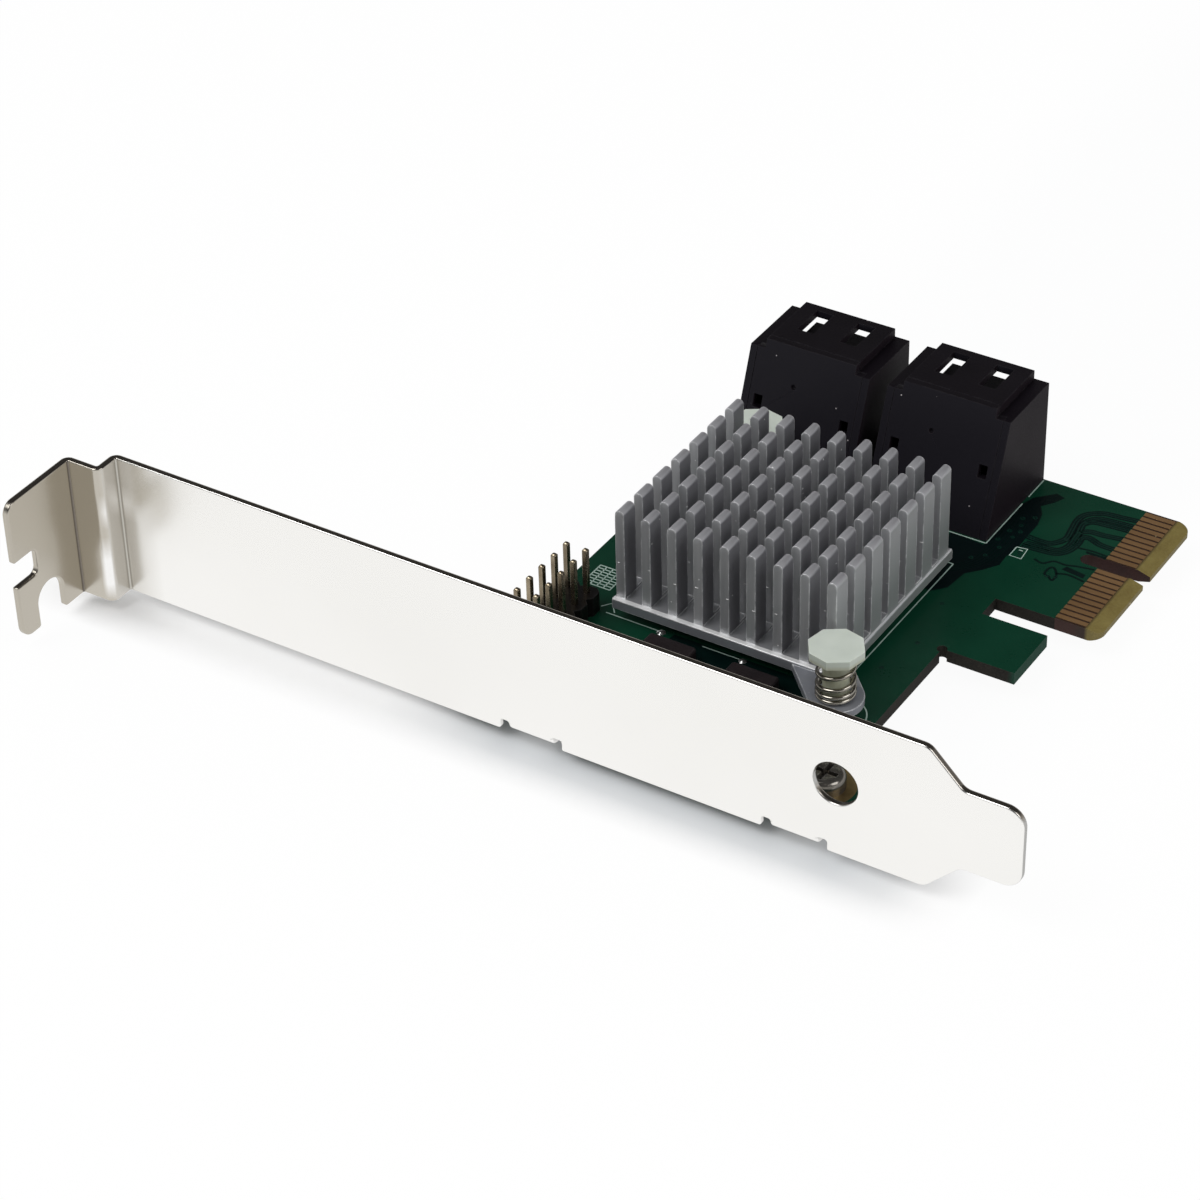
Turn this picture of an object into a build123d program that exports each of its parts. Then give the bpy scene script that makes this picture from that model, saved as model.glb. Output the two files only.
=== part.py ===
from build123d import *
from math import cos, pi, sin
import os

os.makedirs("parts", exist_ok=True)

# Low-profile controller board held in a full-height slot bracket.
# Frame: the origin is the middle of the key slot at the tongue's leading edge, half way
# through the board. +X is the way the tongue goes into its slot, +Y points away from the
# bracket and +Z is the component side.

# Circuit board
board_thickness = 1.57
board_height = 57.15
board_near_edge = 13.9
board_bend_clearance = 0.05
board_corner_radius = 0.8
overcut = 1.0
board_top = board_thickness / 2
board_bottom = -board_thickness / 2

# Edge connector tongue
contact_pitch = 1.0
contacts_per_group = 11
contact_width = 0.7
contact_length = 3.8
contact_setback = 1.9
contact_thickness = 0.05
key_contact_distance = 3.0
key_width = 1.9
key_depth = 8.3
tongue_side_margin = 0.65
tongue_corner_radius = 1.3
bevel_run = 1.5
bevel_depth = 0.45
tongue_half = key_contact_distance / 2 + (contacts_per_group - 1) * contact_pitch + tongue_side_margin
group_centre = key_contact_distance / 2 + (contacts_per_group - 1) * contact_pitch / 2

# Retention hook beside the tongue
hook_width = 8.1
hook_reach = 9.0
hook_slot_width = 3.35
hook_slot_overlap = 0.8
hook_relief_radius = 0.6
hook_corner_radius = 0.8
hook_slot_radius = 1.3
hook_far_side = -tongue_half - hook_slot_width
hook_near_side = hook_far_side - hook_width

# Bracket sheet
sheet = 0.86
bracket_length = 120.02
bracket_width = 18.42
key_to_bracket = 57.15
tip_to_bracket_top = 106.9
jog_depth = 3.1
neck_length = 5.3
flange_reach = 14.75
flange_corner_radius = 1.6
bend_inner_radius = 0.2
tail_taper = 4.115
tail_length = 6.95
tail_corner_radius = 2.2
taper_blend_radius = 1.6
fold_run = 3.0
bend_radius = bend_inner_radius + sheet / 2
bracket_inner = -key_to_bracket
bracket_outer = bracket_inner - sheet
bracket_start = -tip_to_bracket_top
bracket_end = bracket_start + bracket_length
bracket_low = board_bottom - sheet
bracket_high = bracket_low + bracket_width
flange_end = bracket_inner - flange_reach
neck_outer = bracket_outer - jog_depth

# Screw slot and hook notch in the flange
slot_width = 4.42
slot_centre = bracket_outer - 8.6
slot_depth = 5.1
notch_height = 3.4
notch_depth = 3.8
notch_corner_radius = 0.9
slot_mouth_radius = 0.4
notch_centre = bracket_low + 8.85

# Round hole in the plate
plate_hole_diameter = 5.3
plate_hole_reach = 98.35
plate_hole_lift = 9.28
plate_hole_x = bracket_start + plate_hole_reach
plate_hole_z = bracket_low + plate_hole_lift

# Mounting tabs folded under the board
tab_width = 5.7
tab_reach = 10.5
tab_spacing = 33.0
tab_first_reach = 60.5
tab_first = bracket_start + tab_first_reach
tab_inner_radius = 0.4
tab_corner_radius = 1.5
relief_width = 1.15
relief_clearance = 0.04
relief_corner_radius = 0.35
relief_height = tab_inner_radius + sheet + relief_clearance
tab_bend_radius = tab_inner_radius + sheet / 2
tab_centres = [tab_first, tab_first + tab_spacing]

# Board ear that reaches over the second tab
ear_margin = 4.1
ear_reach = 12.5
board_ear_x = tab_centres[1] + ear_margin

# Mounting screws
screw_radius = 1.2
screw_clearance = 0.05
screw_length = 4.0
screw_head_radius = 2.3
screw_head_height = 1.9
screw_head_round = 0.8
screw_y = bracket_outer + 6.8
cross_length = 3.0
cross_width = 0.6
cross_depth = 1.1
board_screw_hole = 2.8

# Controller chip and thermal pad
sink_x = -34.2
sink_y = -23.7
chip_size = 14.0
chip_height = 1.5
pad_thickness = 0.25

# Heatsink
sink_width = 28.6
fin_columns = 9
fin_rows = 7
fin_thickness = 1.17
fin_pitch_x = 3.37
fin_pitch_y = 4.0
saw_width = 1.0
saw_lift = 0.3
sink_base_thickness = 1.25
sink_base_ledge = 0.4
sink_height = 13.05
sink_depth = fin_rows * fin_pitch_y - saw_width
sink_bottom = board_top + chip_height + pad_thickness
sink_base_top = sink_bottom + sink_base_thickness
sink_top = sink_bottom + sink_height

# Heatsink ears and their push pins
front_pin_offset = (15.8, -16.3)
rear_pin_offset = (-13.3, 16.95)
ear_radius = 3.2
ear_root_share = 0.63
ear_thickness = 0.95
pin_radius = 1.5
pin_hole_clearance = 0.12
pin_head_radius = 3.25
pin_head_thickness = 1.1
pin_head_turn = 10.0
pin_head_lift = 9.37
pin_head_top = board_top + pin_head_lift
pin_tip_depth = 2.4
barb_radius = 1.95
barb_tip_radius = 1.05
split_width = 0.7
pin_head_bottom = pin_head_top - pin_head_thickness
pin_places = [("front", *front_pin_offset), ("rear", *rear_pin_offset)]

# Push pin springs
spring_wire_radius = 0.25
spring_mean_radius = 2.05
spring_turns = 4.5
spring_closed_pitch = 0.55
spring_points_per_turn = 12
spring_low = sink_bottom + ear_thickness + spring_wire_radius
spring_rise = pin_head_bottom - spring_wire_radius - spring_low

# Stacked connector blocks
block_width = 16.0
block_pitch = 18.4
block_last_x = -27.15
block_mouth = tongue_half
block_depth_bottom = 14.95
block_depth_top = 9.45
shoulder_height = 13.55
plateau_height = 14.65
plateau_width = 12.1
side_wall = 0.9
cover_thickness = 0.9
cover_clearance = 0.04
block_top = board_top + plateau_height
block_slope = (block_depth_bottom - block_depth_top) / plateau_height
block_places = [("left", block_last_x - block_pitch), ("right", block_last_x)]

# Ports inside a block
port_floor = 0.95
port_pitch = 6.9
port_height = 4.9
port_depth = 6.9
port_wall = 1.1
latch_channel_width = 10.4
latch_channel_height = 1.0
window_width = 2.2
window_length = 4.8
window_setback = 1.1
window_offset = 2.85
tongue_width = 10.6
tongue_thickness = 1.25
tongue_setback = 0.3
tongue_lift = 2.2
tongue_leg = 1.1
tongue_leg_width = 1.1
peg_radius = 0.75
peg_length = 1.3
peg_offset = 6.3
peg_setback = 4.0
peg_clearance = 0.05

# Port contacts
port_contacts = 7
port_contact_pitch = 1.27
port_contact_width = 0.5
port_contact_sheet = 0.25
port_contact_start = 1.3
port_tail_length = 1.2
upper_knee = 9.0
upper_foot = 12.0
lower_knee = 8.6
lower_foot = 9.6
foot_height = 1.2
contact_bend = 0.5
tail_hole_radius = 0.42
slot_slack = 0.03

# Latch windows and gate mark in a rear cover
latch_width = 1.1
latch_height = 1.5
latch_offset = 5.8
latch_lift = 7.4
gate_radius = 0.3
gate_depth = 0.3
gate_offset = -1.5
gate_lift = 10.1

# Pin header
header_pitch = 2.54
header_columns = 2
header_rows = 5
header_margin = 3.92
header_x = header_margin - board_height
header_y = -42.5
header_base_height = 2.54
header_pin_size = 0.64
header_pin_top = 8.57
header_pin_tail = 1.2
header_tip = 0.18
header_hole_radius = 0.5
header_cell_cut = 0.6

# Power inductors
inductor_size = 6.0
inductor_height = 1.8
inductor_y = -42.3
inductor_xs = [-39.3, -28.7]
inductor_edge_radius = 0.4
terminal_width = 2.6
terminal_sheet = 0.2
terminal_height = 0.9

# Flash memory chip
flash_x = -22.3
flash_setback = 8.55
flash_y = bracket_inner + flash_setback
flash_length = 4.9
flash_width = 3.9
flash_height = 1.45
flash_standoff = 0.1
flash_leads_per_side = 4
flash_lead_pitch = 1.27
flash_lead_width = 0.4
flash_lead_sheet = 0.2
flash_lead_reach = 1.05
flash_lead_foot = 0.6

# Crystal
crystal_x = -34.1
crystal_y = -50.2
crystal_length = 5.0
crystal_width = 3.2
crystal_height = 0.9
crystal_edge_radius = 0.5

# Small ceramic capacitors: places on the component side and rows on the solder side
cap_length = 1.6
cap_width = 0.8
cap_height = 0.7
cap_end = 0.3
top_cap_offsets = [-8.4, -6.2, -4.0, 4.4, 6.6]
top_cap_y = -49.5
under_cap_columns = 4
under_cap_rows = 2
under_cap_pitch_x = 2.54
under_cap_pitch_y = 2.1
under_cap_gap = 0.9


def level(height):
    return Plane.XY.offset(height)


# Circuit board with its tongue, hook, bracket ear and drilled holes
ear_end = bracket_inner + ear_reach
board_start = bracket_inner + tab_inner_radius + board_bend_clearance
with BuildPart() as circuit_board:
    with BuildSketch(level(board_bottom)) as board_outline:
        with BuildLine():
            Polyline(
                (-board_height, board_start),
                (-board_height, tongue_half),
                (0, tongue_half),
                (0, -tongue_half),
                (-board_near_edge + hook_slot_overlap, -tongue_half),
                (-board_near_edge + hook_slot_overlap, hook_far_side),
                (-board_near_edge + hook_reach, hook_far_side),
                (-board_near_edge + hook_reach, hook_near_side),
                (-board_near_edge, hook_near_side),
                (-board_near_edge, ear_end),
                (board_ear_x, ear_end),
                (board_ear_x, board_start),
                close=True,
            )
        make_face()
        corners = board_outline.vertices()
        fillet(corners.group_by(Axis.X)[0], board_corner_radius)
        tip_corners = board_outline.vertices().group_by(Axis.X)[-1]
        fillet(tip_corners, tongue_corner_radius)
        ear_corners = board_outline.vertices().group_by(Axis.Y)[0].sort_by(Axis.X)[-1]
        fillet(ear_corners, board_corner_radius)
        hook_tip = board_outline.vertices().filter_by_position(
            Axis.X, hook_reach - board_near_edge, hook_reach - board_near_edge)
        fillet(hook_tip, hook_corner_radius)
        slot_end = board_outline.vertices().filter_by_position(
            Axis.X, hook_slot_overlap - board_near_edge, hook_slot_overlap - board_near_edge)
        fillet(slot_end, hook_slot_radius)
        with Locations((-key_depth / 2 + key_width / 4, 0)):
            Rectangle(key_depth - key_width / 2, key_width, mode=Mode.SUBTRACT)
        with Locations((-key_depth + key_width / 2, 0)):
            Circle(key_width / 2, mode=Mode.SUBTRACT)
        with Locations((-board_near_edge, hook_near_side)):
            Circle(hook_relief_radius, mode=Mode.SUBTRACT)
        with Locations(*[(x, screw_y) for x in tab_centres]):
            Circle(board_screw_hole / 2, mode=Mode.SUBTRACT)
        with Locations(*[(sink_x + dx, sink_y + dy) for _, dx, dy in pin_places]):
            Circle(pin_radius + pin_hole_clearance, mode=Mode.SUBTRACT)
        with Locations((header_x, header_y)):
            with GridLocations(header_pitch, header_pitch, header_columns, header_rows):
                Circle(header_hole_radius, mode=Mode.SUBTRACT)
        for _, block_x in block_places:
            for foot in (upper_foot, lower_foot):
                with Locations((block_x, block_mouth - foot)):
                    with GridLocations(port_contact_pitch, 0, port_contacts, 1):
                        Circle(tail_hole_radius, mode=Mode.SUBTRACT)
            with Locations((block_x, block_mouth - peg_setback)):
                with GridLocations(2 * peg_offset, 0, 2, 1):
                    Circle(peg_radius + peg_clearance, mode=Mode.SUBTRACT)
    extrude(amount=board_thickness)
    with BuildSketch(Plane.XZ.offset(-tongue_half)):
        for side in (1, -1):
            with BuildLine():
                Polyline(
                    (-bevel_run, side * board_top),
                    (0, side * (board_top - bevel_depth)),
                    (0, side * board_top),
                    close=True,
                )
            make_face()
    extrude(amount=2 * tongue_half, mode=Mode.SUBTRACT)
circuit_board.part.label = "circuit_board"
export_step(circuit_board.part, "parts/circuit_board.step")

# Gold contacts on both faces of the tongue
contact_x = -contact_setback - contact_length / 2
for side_name, contact_base in (("front", board_top), ("back", board_bottom - contact_thickness)):
    with BuildPart() as edge_contacts:
        with BuildSketch(level(contact_base)):
            with Locations((contact_x, group_centre), (contact_x, -group_centre)):
                with GridLocations(0, contact_pitch, 1, contacts_per_group):
                    Rectangle(contact_length, contact_width)
        extrude(amount=contact_thickness)
    edge_contacts.part.label = f"edge_contacts_{side_name}"
    export_step(edge_contacts.part, f"parts/edge_contacts_{side_name}.step")

# Bracket folded from one sheet: flange, neck, jog, plate with tail, two tabs under the board
flange_mid = bracket_start + sheet / 2
neck_mid = neck_outer + sheet / 2
jog_mid = bracket_start + neck_length - sheet / 2
plate_mid = bracket_outer + sheet / 2
plate_start = jog_mid + bend_radius + fold_run
taper_start = bracket_end - tail_length - tail_taper
tab_mid = bracket_low + sheet / 2
tab_end = bracket_outer + tab_reach
with BuildPart() as bracket:
    with BuildSketch(level(bracket_low)):
        with BuildLine() as fold_line:
            FilletPolyline(
                (flange_mid, flange_end),
                (flange_mid, neck_mid),
                (jog_mid, neck_mid),
                (jog_mid, plate_mid),
                (plate_start, plate_mid),
                radius=bend_radius,
            )
        trace(line_width=sheet)
    extrude(amount=bracket_width)
    with BuildSketch(Plane.XZ.offset(-bracket_outer)) as plate:
        with BuildLine():
            Polyline(
                (plate_start, bracket_low),
                (taper_start, bracket_low),
                (taper_start + tail_taper, bracket_low + tail_taper),
                (bracket_end, bracket_low + tail_taper),
                (bracket_end, bracket_high - tail_taper),
                (taper_start + tail_taper, bracket_high - tail_taper),
                (taper_start, bracket_high),
                (plate_start, bracket_high),
                close=True,
            )
        make_face()
        tail_end_corners = plate.vertices().group_by(Axis.X)[-1]
        fillet(tail_end_corners, tail_corner_radius)
        fillet(plate.vertices().group_by(Axis.Y)[0].sort_by(Axis.X)[-1], taper_blend_radius)
        fillet(plate.vertices().group_by(Axis.Y)[-1].sort_by(Axis.X)[-1], taper_blend_radius)
        fillet(plate.vertices().filter_by_position(
            Axis.X, taper_start + tail_taper, taper_start + tail_taper), taper_blend_radius)
        with Locations((plate_hole_x, plate_hole_z)):
            Circle(plate_hole_diameter / 2, mode=Mode.SUBTRACT)
    extrude(amount=-sheet)
    with BuildSketch(Plane.XZ.offset(-bracket_outer)) as reliefs:
        with Locations(*[(x, bracket_low) for x in tab_centres]):
            Rectangle(tab_width + 2 * relief_width, 2 * relief_height)
        fillet(reliefs.vertices(), relief_corner_radius)
    extrude(amount=-sheet, mode=Mode.SUBTRACT)
    for tab_x in tab_centres:
        with BuildSketch(Plane.YZ.offset(tab_x - tab_width / 2)):
            with BuildLine():
                FilletPolyline(
                    (plate_mid, bracket_low + relief_height),
                    (plate_mid, tab_mid),
                    (tab_end, tab_mid),
                    radius=tab_bend_radius,
                )
            trace(line_width=sheet)
        extrude(amount=tab_width)
    tab_end_edges = bracket.edges().filter_by(Axis.Z).group_by(Axis.Y)[-1]
    fillet(tab_end_edges, tab_corner_radius)
    with BuildSketch(level(bracket_low)):
        with Locations(*[(x, screw_y) for x in tab_centres]):
            Circle(screw_radius + screw_clearance)
    extrude(amount=sheet, mode=Mode.SUBTRACT)
    with BuildSketch(Plane.YZ.offset(bracket_start)):
        with Locations((slot_centre, bracket_low + (slot_depth - slot_width / 2) / 2)):
            Rectangle(slot_width, slot_depth - slot_width / 2)
        with Locations((slot_centre, bracket_low + slot_depth - slot_width / 2)):
            Circle(slot_width / 2)
    extrude(amount=sheet, mode=Mode.SUBTRACT)
    with BuildSketch(Plane.YZ.offset(bracket_start)) as notch:
        with Locations((flange_end + notch_depth / 2, notch_centre)):
            Rectangle(notch_depth, notch_height)
        fillet(notch.vertices().group_by(Axis.X)[-1], notch_corner_radius)
    extrude(amount=sheet, mode=Mode.SUBTRACT)
    low_edges = bracket.edges().filter_by(Axis.X).group_by(Axis.Z)[0]
    slot_mouth_edges = low_edges.filter_by_position(
        Axis.Y, slot_centre - slot_width / 2, slot_centre + slot_width / 2)
    fillet(slot_mouth_edges, slot_mouth_radius)
    flange_edges = bracket.edges().filter_by(Axis.X).group_by(Axis.Y)[0].sort_by(Axis.Z)
    fillet([flange_edges[0], flange_edges[-1]], flange_corner_radius)
bracket.part.label = "bracket"
export_step(bracket.part, "parts/bracket.step")

# Pan-head screws through the board into the tabs
with BuildPart() as bracket_screws:
    with Locations(*[(x, screw_y, board_top) for x in tab_centres]):
        Cylinder(screw_head_radius, screw_head_height, align=(Align.CENTER, Align.CENTER, Align.MIN))
    head_rims = bracket_screws.edges().filter_by(GeomType.CIRCLE).group_by(Axis.Z)[-1]
    fillet(head_rims, screw_head_round)
    with Locations(*[(x, screw_y, board_top) for x in tab_centres]):
        Cylinder(screw_radius, screw_length, align=(Align.CENTER, Align.CENTER, Align.MAX))
    with BuildSketch(level(board_top + screw_head_height)):
        with Locations(*[(x, screw_y) for x in tab_centres]):
            Rectangle(cross_length, cross_width)
            Rectangle(cross_width, cross_length)
    extrude(amount=-cross_depth, mode=Mode.SUBTRACT)
bracket_screws.part.label = "bracket_screws"
export_step(bracket_screws.part, "parts/bracket_screws.step")

# Controller chip and the pad between it and the heatsink
with BuildPart() as controller_chip:
    with BuildSketch(level(board_top)):
        with Locations((sink_x, sink_y)):
            Rectangle(chip_size, chip_size)
    extrude(amount=chip_height)
controller_chip.part.label = "controller_chip"
export_step(controller_chip.part, "parts/controller_chip.step")

with BuildPart() as thermal_pad:
    with BuildSketch(level(board_top + chip_height)):
        with Locations((sink_x, sink_y)):
            Rectangle(chip_size, chip_size)
    extrude(amount=pad_thickness)
thermal_pad.part.label = "thermal_pad"
export_step(thermal_pad.part, "parts/thermal_pad.step")

# Heatsink: base plate with two thinner ears, round-topped fins sawn across into rows
fin_body_height = sink_top - sink_base_top - fin_thickness / 2
with BuildPart() as heatsink:
    with BuildSketch(level(sink_bottom)):
        for _, dx, dy in pin_places:
            with BuildSketch(mode=Mode.PRIVATE) as ear:
                with Locations((sink_x + dx, sink_y + dy),
                               (sink_x + ear_root_share * dx, sink_y + ear_root_share * dy)):
                    Circle(ear_radius)
                make_hull()
            add(ear.sketch)
        with Locations(*[(sink_x + dx, sink_y + dy) for _, dx, dy in pin_places]):
            Circle(pin_radius + pin_hole_clearance, mode=Mode.SUBTRACT)
    extrude(amount=ear_thickness)
    with BuildSketch(level(sink_bottom)):
        with Locations((sink_x, sink_y)):
            Rectangle(sink_width, sink_depth + 2 * sink_base_ledge)
    extrude(amount=sink_base_thickness)
    with BuildSketch(Plane.XZ.offset(-sink_y + sink_depth / 2)):
        with Locations((sink_x, sink_base_top + fin_body_height / 2)):
            with GridLocations(fin_pitch_x, 0, fin_columns, 1):
                Rectangle(fin_thickness, fin_body_height)
        with Locations((sink_x, sink_base_top + fin_body_height)):
            with GridLocations(fin_pitch_x, 0, fin_columns, 1):
                Circle(fin_thickness / 2)
    extrude(amount=-sink_depth)
    with BuildSketch(level(sink_base_top + saw_lift)):
        with Locations((sink_x, sink_y)):
            with GridLocations(0, fin_pitch_y, 1, fin_rows - 1):
                Rectangle(sink_width, saw_width)
    extrude(amount=sink_height, mode=Mode.SUBTRACT)
heatsink.part.label = "heatsink"
export_step(heatsink.part, "parts/heatsink.step")

# Push pins: octagonal head, shank through spring, ear and board, split barb below
for pin_name, pin_dx, pin_dy in pin_places:
    pin_x = sink_x + pin_dx
    pin_y = sink_y + pin_dy
    with BuildPart() as push_pin:
        with BuildSketch(level(pin_head_bottom)):
            with Locations((pin_x, pin_y)):
                RegularPolygon(pin_head_radius, 8, rotation=pin_head_turn)
        extrude(amount=pin_head_thickness)
        with BuildSketch(level(board_bottom)):
            with Locations((pin_x, pin_y)):
                Circle(pin_radius)
        extrude(amount=pin_head_bottom - board_bottom)
        with Locations((pin_x, pin_y, board_bottom)):
            Cone(barb_tip_radius, barb_radius, pin_tip_depth, align=(Align.CENTER, Align.CENTER, Align.MAX))
        with Locations((pin_x, pin_y, board_bottom - pin_tip_depth)):
            Box(split_width, 2 * barb_radius, pin_tip_depth + 2 * board_thickness,
                align=(Align.CENTER, Align.CENTER, Align.MIN), mode=Mode.SUBTRACT)
    push_pin.part.label = f"push_pin_{pin_name}"
    export_step(push_pin.part, f"parts/push_pin_{pin_name}.step")

    spring_opening = spring_rise - spring_closed_pitch * spring_turns
    spring_steps = int(spring_turns * spring_points_per_turn)
    with BuildPart() as push_pin_spring:
        with BuildLine() as coil:
            Spline(*[
                (
                    pin_x - spring_mean_radius * cos(2 * pi * i / spring_points_per_turn),
                    pin_y - spring_mean_radius * sin(2 * pi * i / spring_points_per_turn),
                    spring_low
                    + spring_closed_pitch * i / spring_points_per_turn
                    + spring_opening * (i / spring_steps) ** 4 * (5 - 4 * i / spring_steps),
                )
                for i in range(spring_steps + 1)
            ])
        with BuildSketch(Plane(origin=coil.line @ 0, z_dir=coil.line % 0)):
            Circle(spring_wire_radius)
        sweep(path=coil.line, is_frenet=True)
    push_pin_spring.part.label = f"push_pin_spring_{pin_name}"
    export_step(push_pin_spring.part, f"parts/push_pin_spring_{pin_name}.step")

# Stacked right-angle connector blocks: 14 contacts, a housing with two ports and a rear cover
port_bottoms = [board_top + port_floor + i * port_pitch for i in range(2)]
tongue_bottoms = [bottom + tongue_lift for bottom in port_bottoms]
contact_routes = [(lower_knee, lower_foot), (upper_knee, upper_foot)]
cavity_width = block_width - 2 * side_wall
wall_front = block_mouth - port_depth
wall_back = wall_front - port_wall
cover_run = cover_thickness * (1 + block_slope ** 2) ** 0.5


def rear_face(height, inset):
    return block_mouth - block_depth_bottom + block_slope * height + inset


for block_name, block_x in block_places:
    with BuildPart() as sata_contacts:
        for tongue_bottom, (knee, foot) in zip(tongue_bottoms, contact_routes):
            blade_z = tongue_bottom - port_contact_sheet / 2
            for i in range(port_contacts):
                contact_side = block_x + (i - (port_contacts - 1) / 2) * port_contact_pitch
                with BuildSketch(Plane.YZ.offset(contact_side - port_contact_width / 2)):
                    with BuildLine():
                        FilletPolyline(
                            (block_mouth - port_contact_start, blade_z),
                            (block_mouth - knee, blade_z),
                            (block_mouth - foot, board_top + foot_height),
                            (block_mouth - foot, board_bottom - port_tail_length),
                            radius=contact_bend,
                        )
                    trace(line_width=port_contact_sheet)
                extrude(amount=port_contact_width)
    sata_contacts.part.label = f"sata_contacts_{block_name}"
    export_step(sata_contacts.part, f"parts/sata_contacts_{block_name}.step")

    with BuildPart() as block_body:
        for width, height in ((block_width, shoulder_height), (plateau_width, plateau_height)):
            with BuildSketch(Plane.YZ.offset(block_x - width / 2)):
                with BuildLine():
                    Polyline(
                        (block_mouth, board_top),
                        (block_mouth, board_top + height),
                        (rear_face(height, 0), board_top + height),
                        (rear_face(0, 0), board_top),
                        close=True,
                    )
                make_face()
            extrude(amount=width)

    with BuildPart() as sata_housing:
        add(block_body.part)
        with BuildSketch(Plane.YZ.offset(block_x - cavity_width / 2)):
            with BuildLine():
                Polyline(
                    (wall_back, board_top),
                    (wall_back, board_top + shoulder_height - port_floor),
                    (rear_face(shoulder_height - port_floor, cover_run), board_top + shoulder_height - port_floor),
                    (rear_face(plateau_height, cover_run), board_top + plateau_height),
                    (rear_face(plateau_height, 0), board_top + plateau_height),
                    (rear_face(0, 0), board_top),
                    close=True,
                )
            make_face()
        extrude(amount=cavity_width, mode=Mode.SUBTRACT)
        for port_bottom, tongue_bottom in zip(port_bottoms, tongue_bottoms):
            with BuildSketch(Plane.XZ.offset(-block_mouth)):
                with Locations((block_x, port_bottom + port_height / 2)):
                    Rectangle(cavity_width, port_height)
                with Locations((block_x, port_bottom + (port_height + latch_channel_height) / 2)):
                    Rectangle(latch_channel_width, port_height + latch_channel_height)
            extrude(amount=port_depth, mode=Mode.SUBTRACT)
            with BuildSketch(Plane.XZ.offset(-wall_front)):
                with Locations((block_x, tongue_bottom + tongue_thickness / 2)):
                    Rectangle(tongue_width, tongue_thickness)
                with Locations((block_x + tongue_width / 2 - tongue_leg_width / 2, tongue_bottom - tongue_leg / 2)):
                    Rectangle(tongue_leg_width, tongue_leg)
            extrude(amount=-(port_depth - tongue_setback))
            with BuildSketch(Plane.XZ.offset(-wall_front)):
                with Locations((block_x, tongue_bottom - port_contact_sheet / 2 - slot_slack / 2)):
                    with GridLocations(port_contact_pitch, 0, port_contacts, 1):
                        Rectangle(port_contact_width + 2 * slot_slack, port_contact_sheet + slot_slack)
            extrude(amount=port_wall, mode=Mode.SUBTRACT)
        with BuildSketch(level(block_top)):
            with Locations((block_x, block_mouth - window_setback - window_length / 2)):
                with GridLocations(2 * window_offset, 0, 2, 1):
                    Rectangle(window_width, window_length)
        extrude(amount=port_bottoms[1] + port_height - block_top, mode=Mode.SUBTRACT)
        with Locations((block_x - peg_offset, block_mouth - peg_setback, board_top),
                       (block_x + peg_offset, block_mouth - peg_setback, board_top)):
            Cylinder(peg_radius, peg_length, align=(Align.CENTER, Align.CENTER, Align.MAX))
    sata_housing.part.label = f"sata_housing_{block_name}"
    export_step(sata_housing.part, f"parts/sata_housing_{block_name}.step")

    with BuildPart() as sata_rear_cover:
        add(block_body.part)
        with BuildSketch(Plane.YZ.offset(block_x - cavity_width / 2 + cover_clearance)):
            with BuildLine():
                Polyline(
                    (rear_face(0, 0), board_top),
                    (rear_face(plateau_height, 0), block_top),
                    (rear_face(plateau_height, cover_run - cover_clearance), block_top),
                    (rear_face(0, cover_run - cover_clearance), board_top),
                    close=True,
                )
            make_face()
        extrude(amount=cavity_width - 2 * cover_clearance, mode=Mode.INTERSECT)
        with BuildSketch(Plane.XZ.offset(-rear_face(latch_lift, -overcut))):
            with Locations((block_x, board_top + latch_lift)):
                with GridLocations(2 * latch_offset, 0, 2, 1):
                    Rectangle(latch_width, latch_height)
        extrude(amount=-(cover_run + 2 * overcut), mode=Mode.SUBTRACT)
        with BuildSketch(Plane.XZ.offset(-rear_face(gate_lift, gate_depth))):
            with Locations((block_x + gate_offset, board_top + gate_lift)):
                Circle(gate_radius)
        extrude(amount=gate_depth + overcut, mode=Mode.SUBTRACT)
    sata_rear_cover.part.label = f"sata_rear_cover_{block_name}"
    export_step(sata_rear_cover.part, f"parts/sata_rear_cover_{block_name}.step")

# Pin header: plastic base and square pins
with BuildPart() as header_base:
    with BuildSketch(mode=Mode.PRIVATE) as header_cell:
        Rectangle(header_pitch, header_pitch)
        chamfer(header_cell.vertices(), header_cell_cut)
    with BuildSketch(level(board_top)):
        with Locations((header_x, header_y)):
            with GridLocations(header_pitch, header_pitch, header_columns, header_rows):
                add(header_cell.sketch)
            Rectangle(header_pitch, header_rows * header_pitch - 2 * header_cell_cut)
    extrude(amount=header_base_height)
    with BuildSketch(level(board_top)):
        with Locations((header_x, header_y)):
            with GridLocations(header_pitch, header_pitch, header_columns, header_rows):
                Rectangle(header_pin_size, header_pin_size)
    extrude(amount=header_base_height, mode=Mode.SUBTRACT)
header_base.part.label = "header_base"
export_step(header_base.part, "parts/header_base.step")

with BuildPart() as header_pins:
    with BuildSketch(level(board_bottom - header_pin_tail)):
        with Locations((header_x, header_y)):
            with GridLocations(header_pitch, header_pitch, header_columns, header_rows):
                Rectangle(header_pin_size, header_pin_size)
    extrude(amount=header_pin_tail + board_thickness + header_pin_top)
    tip_edges = header_pins.edges().group_by(Axis.Z)[-1] + header_pins.edges().group_by(Axis.Z)[0]
    chamfer(tip_edges, header_tip)
header_pins.part.label = "header_pins"
export_step(header_pins.part, "parts/header_pins.step")

# Power inductors with a folded terminal at each end
with BuildPart() as power_inductors:
    with BuildSketch(level(board_top + terminal_sheet)):
        with Locations(*[(x, inductor_y) for x in inductor_xs]):
            RectangleRounded(inductor_size, inductor_size, inductor_edge_radius)
    extrude(amount=inductor_height - terminal_sheet)
power_inductors.part.label = "power_inductors"
export_step(power_inductors.part, "parts/power_inductors.step")

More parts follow.
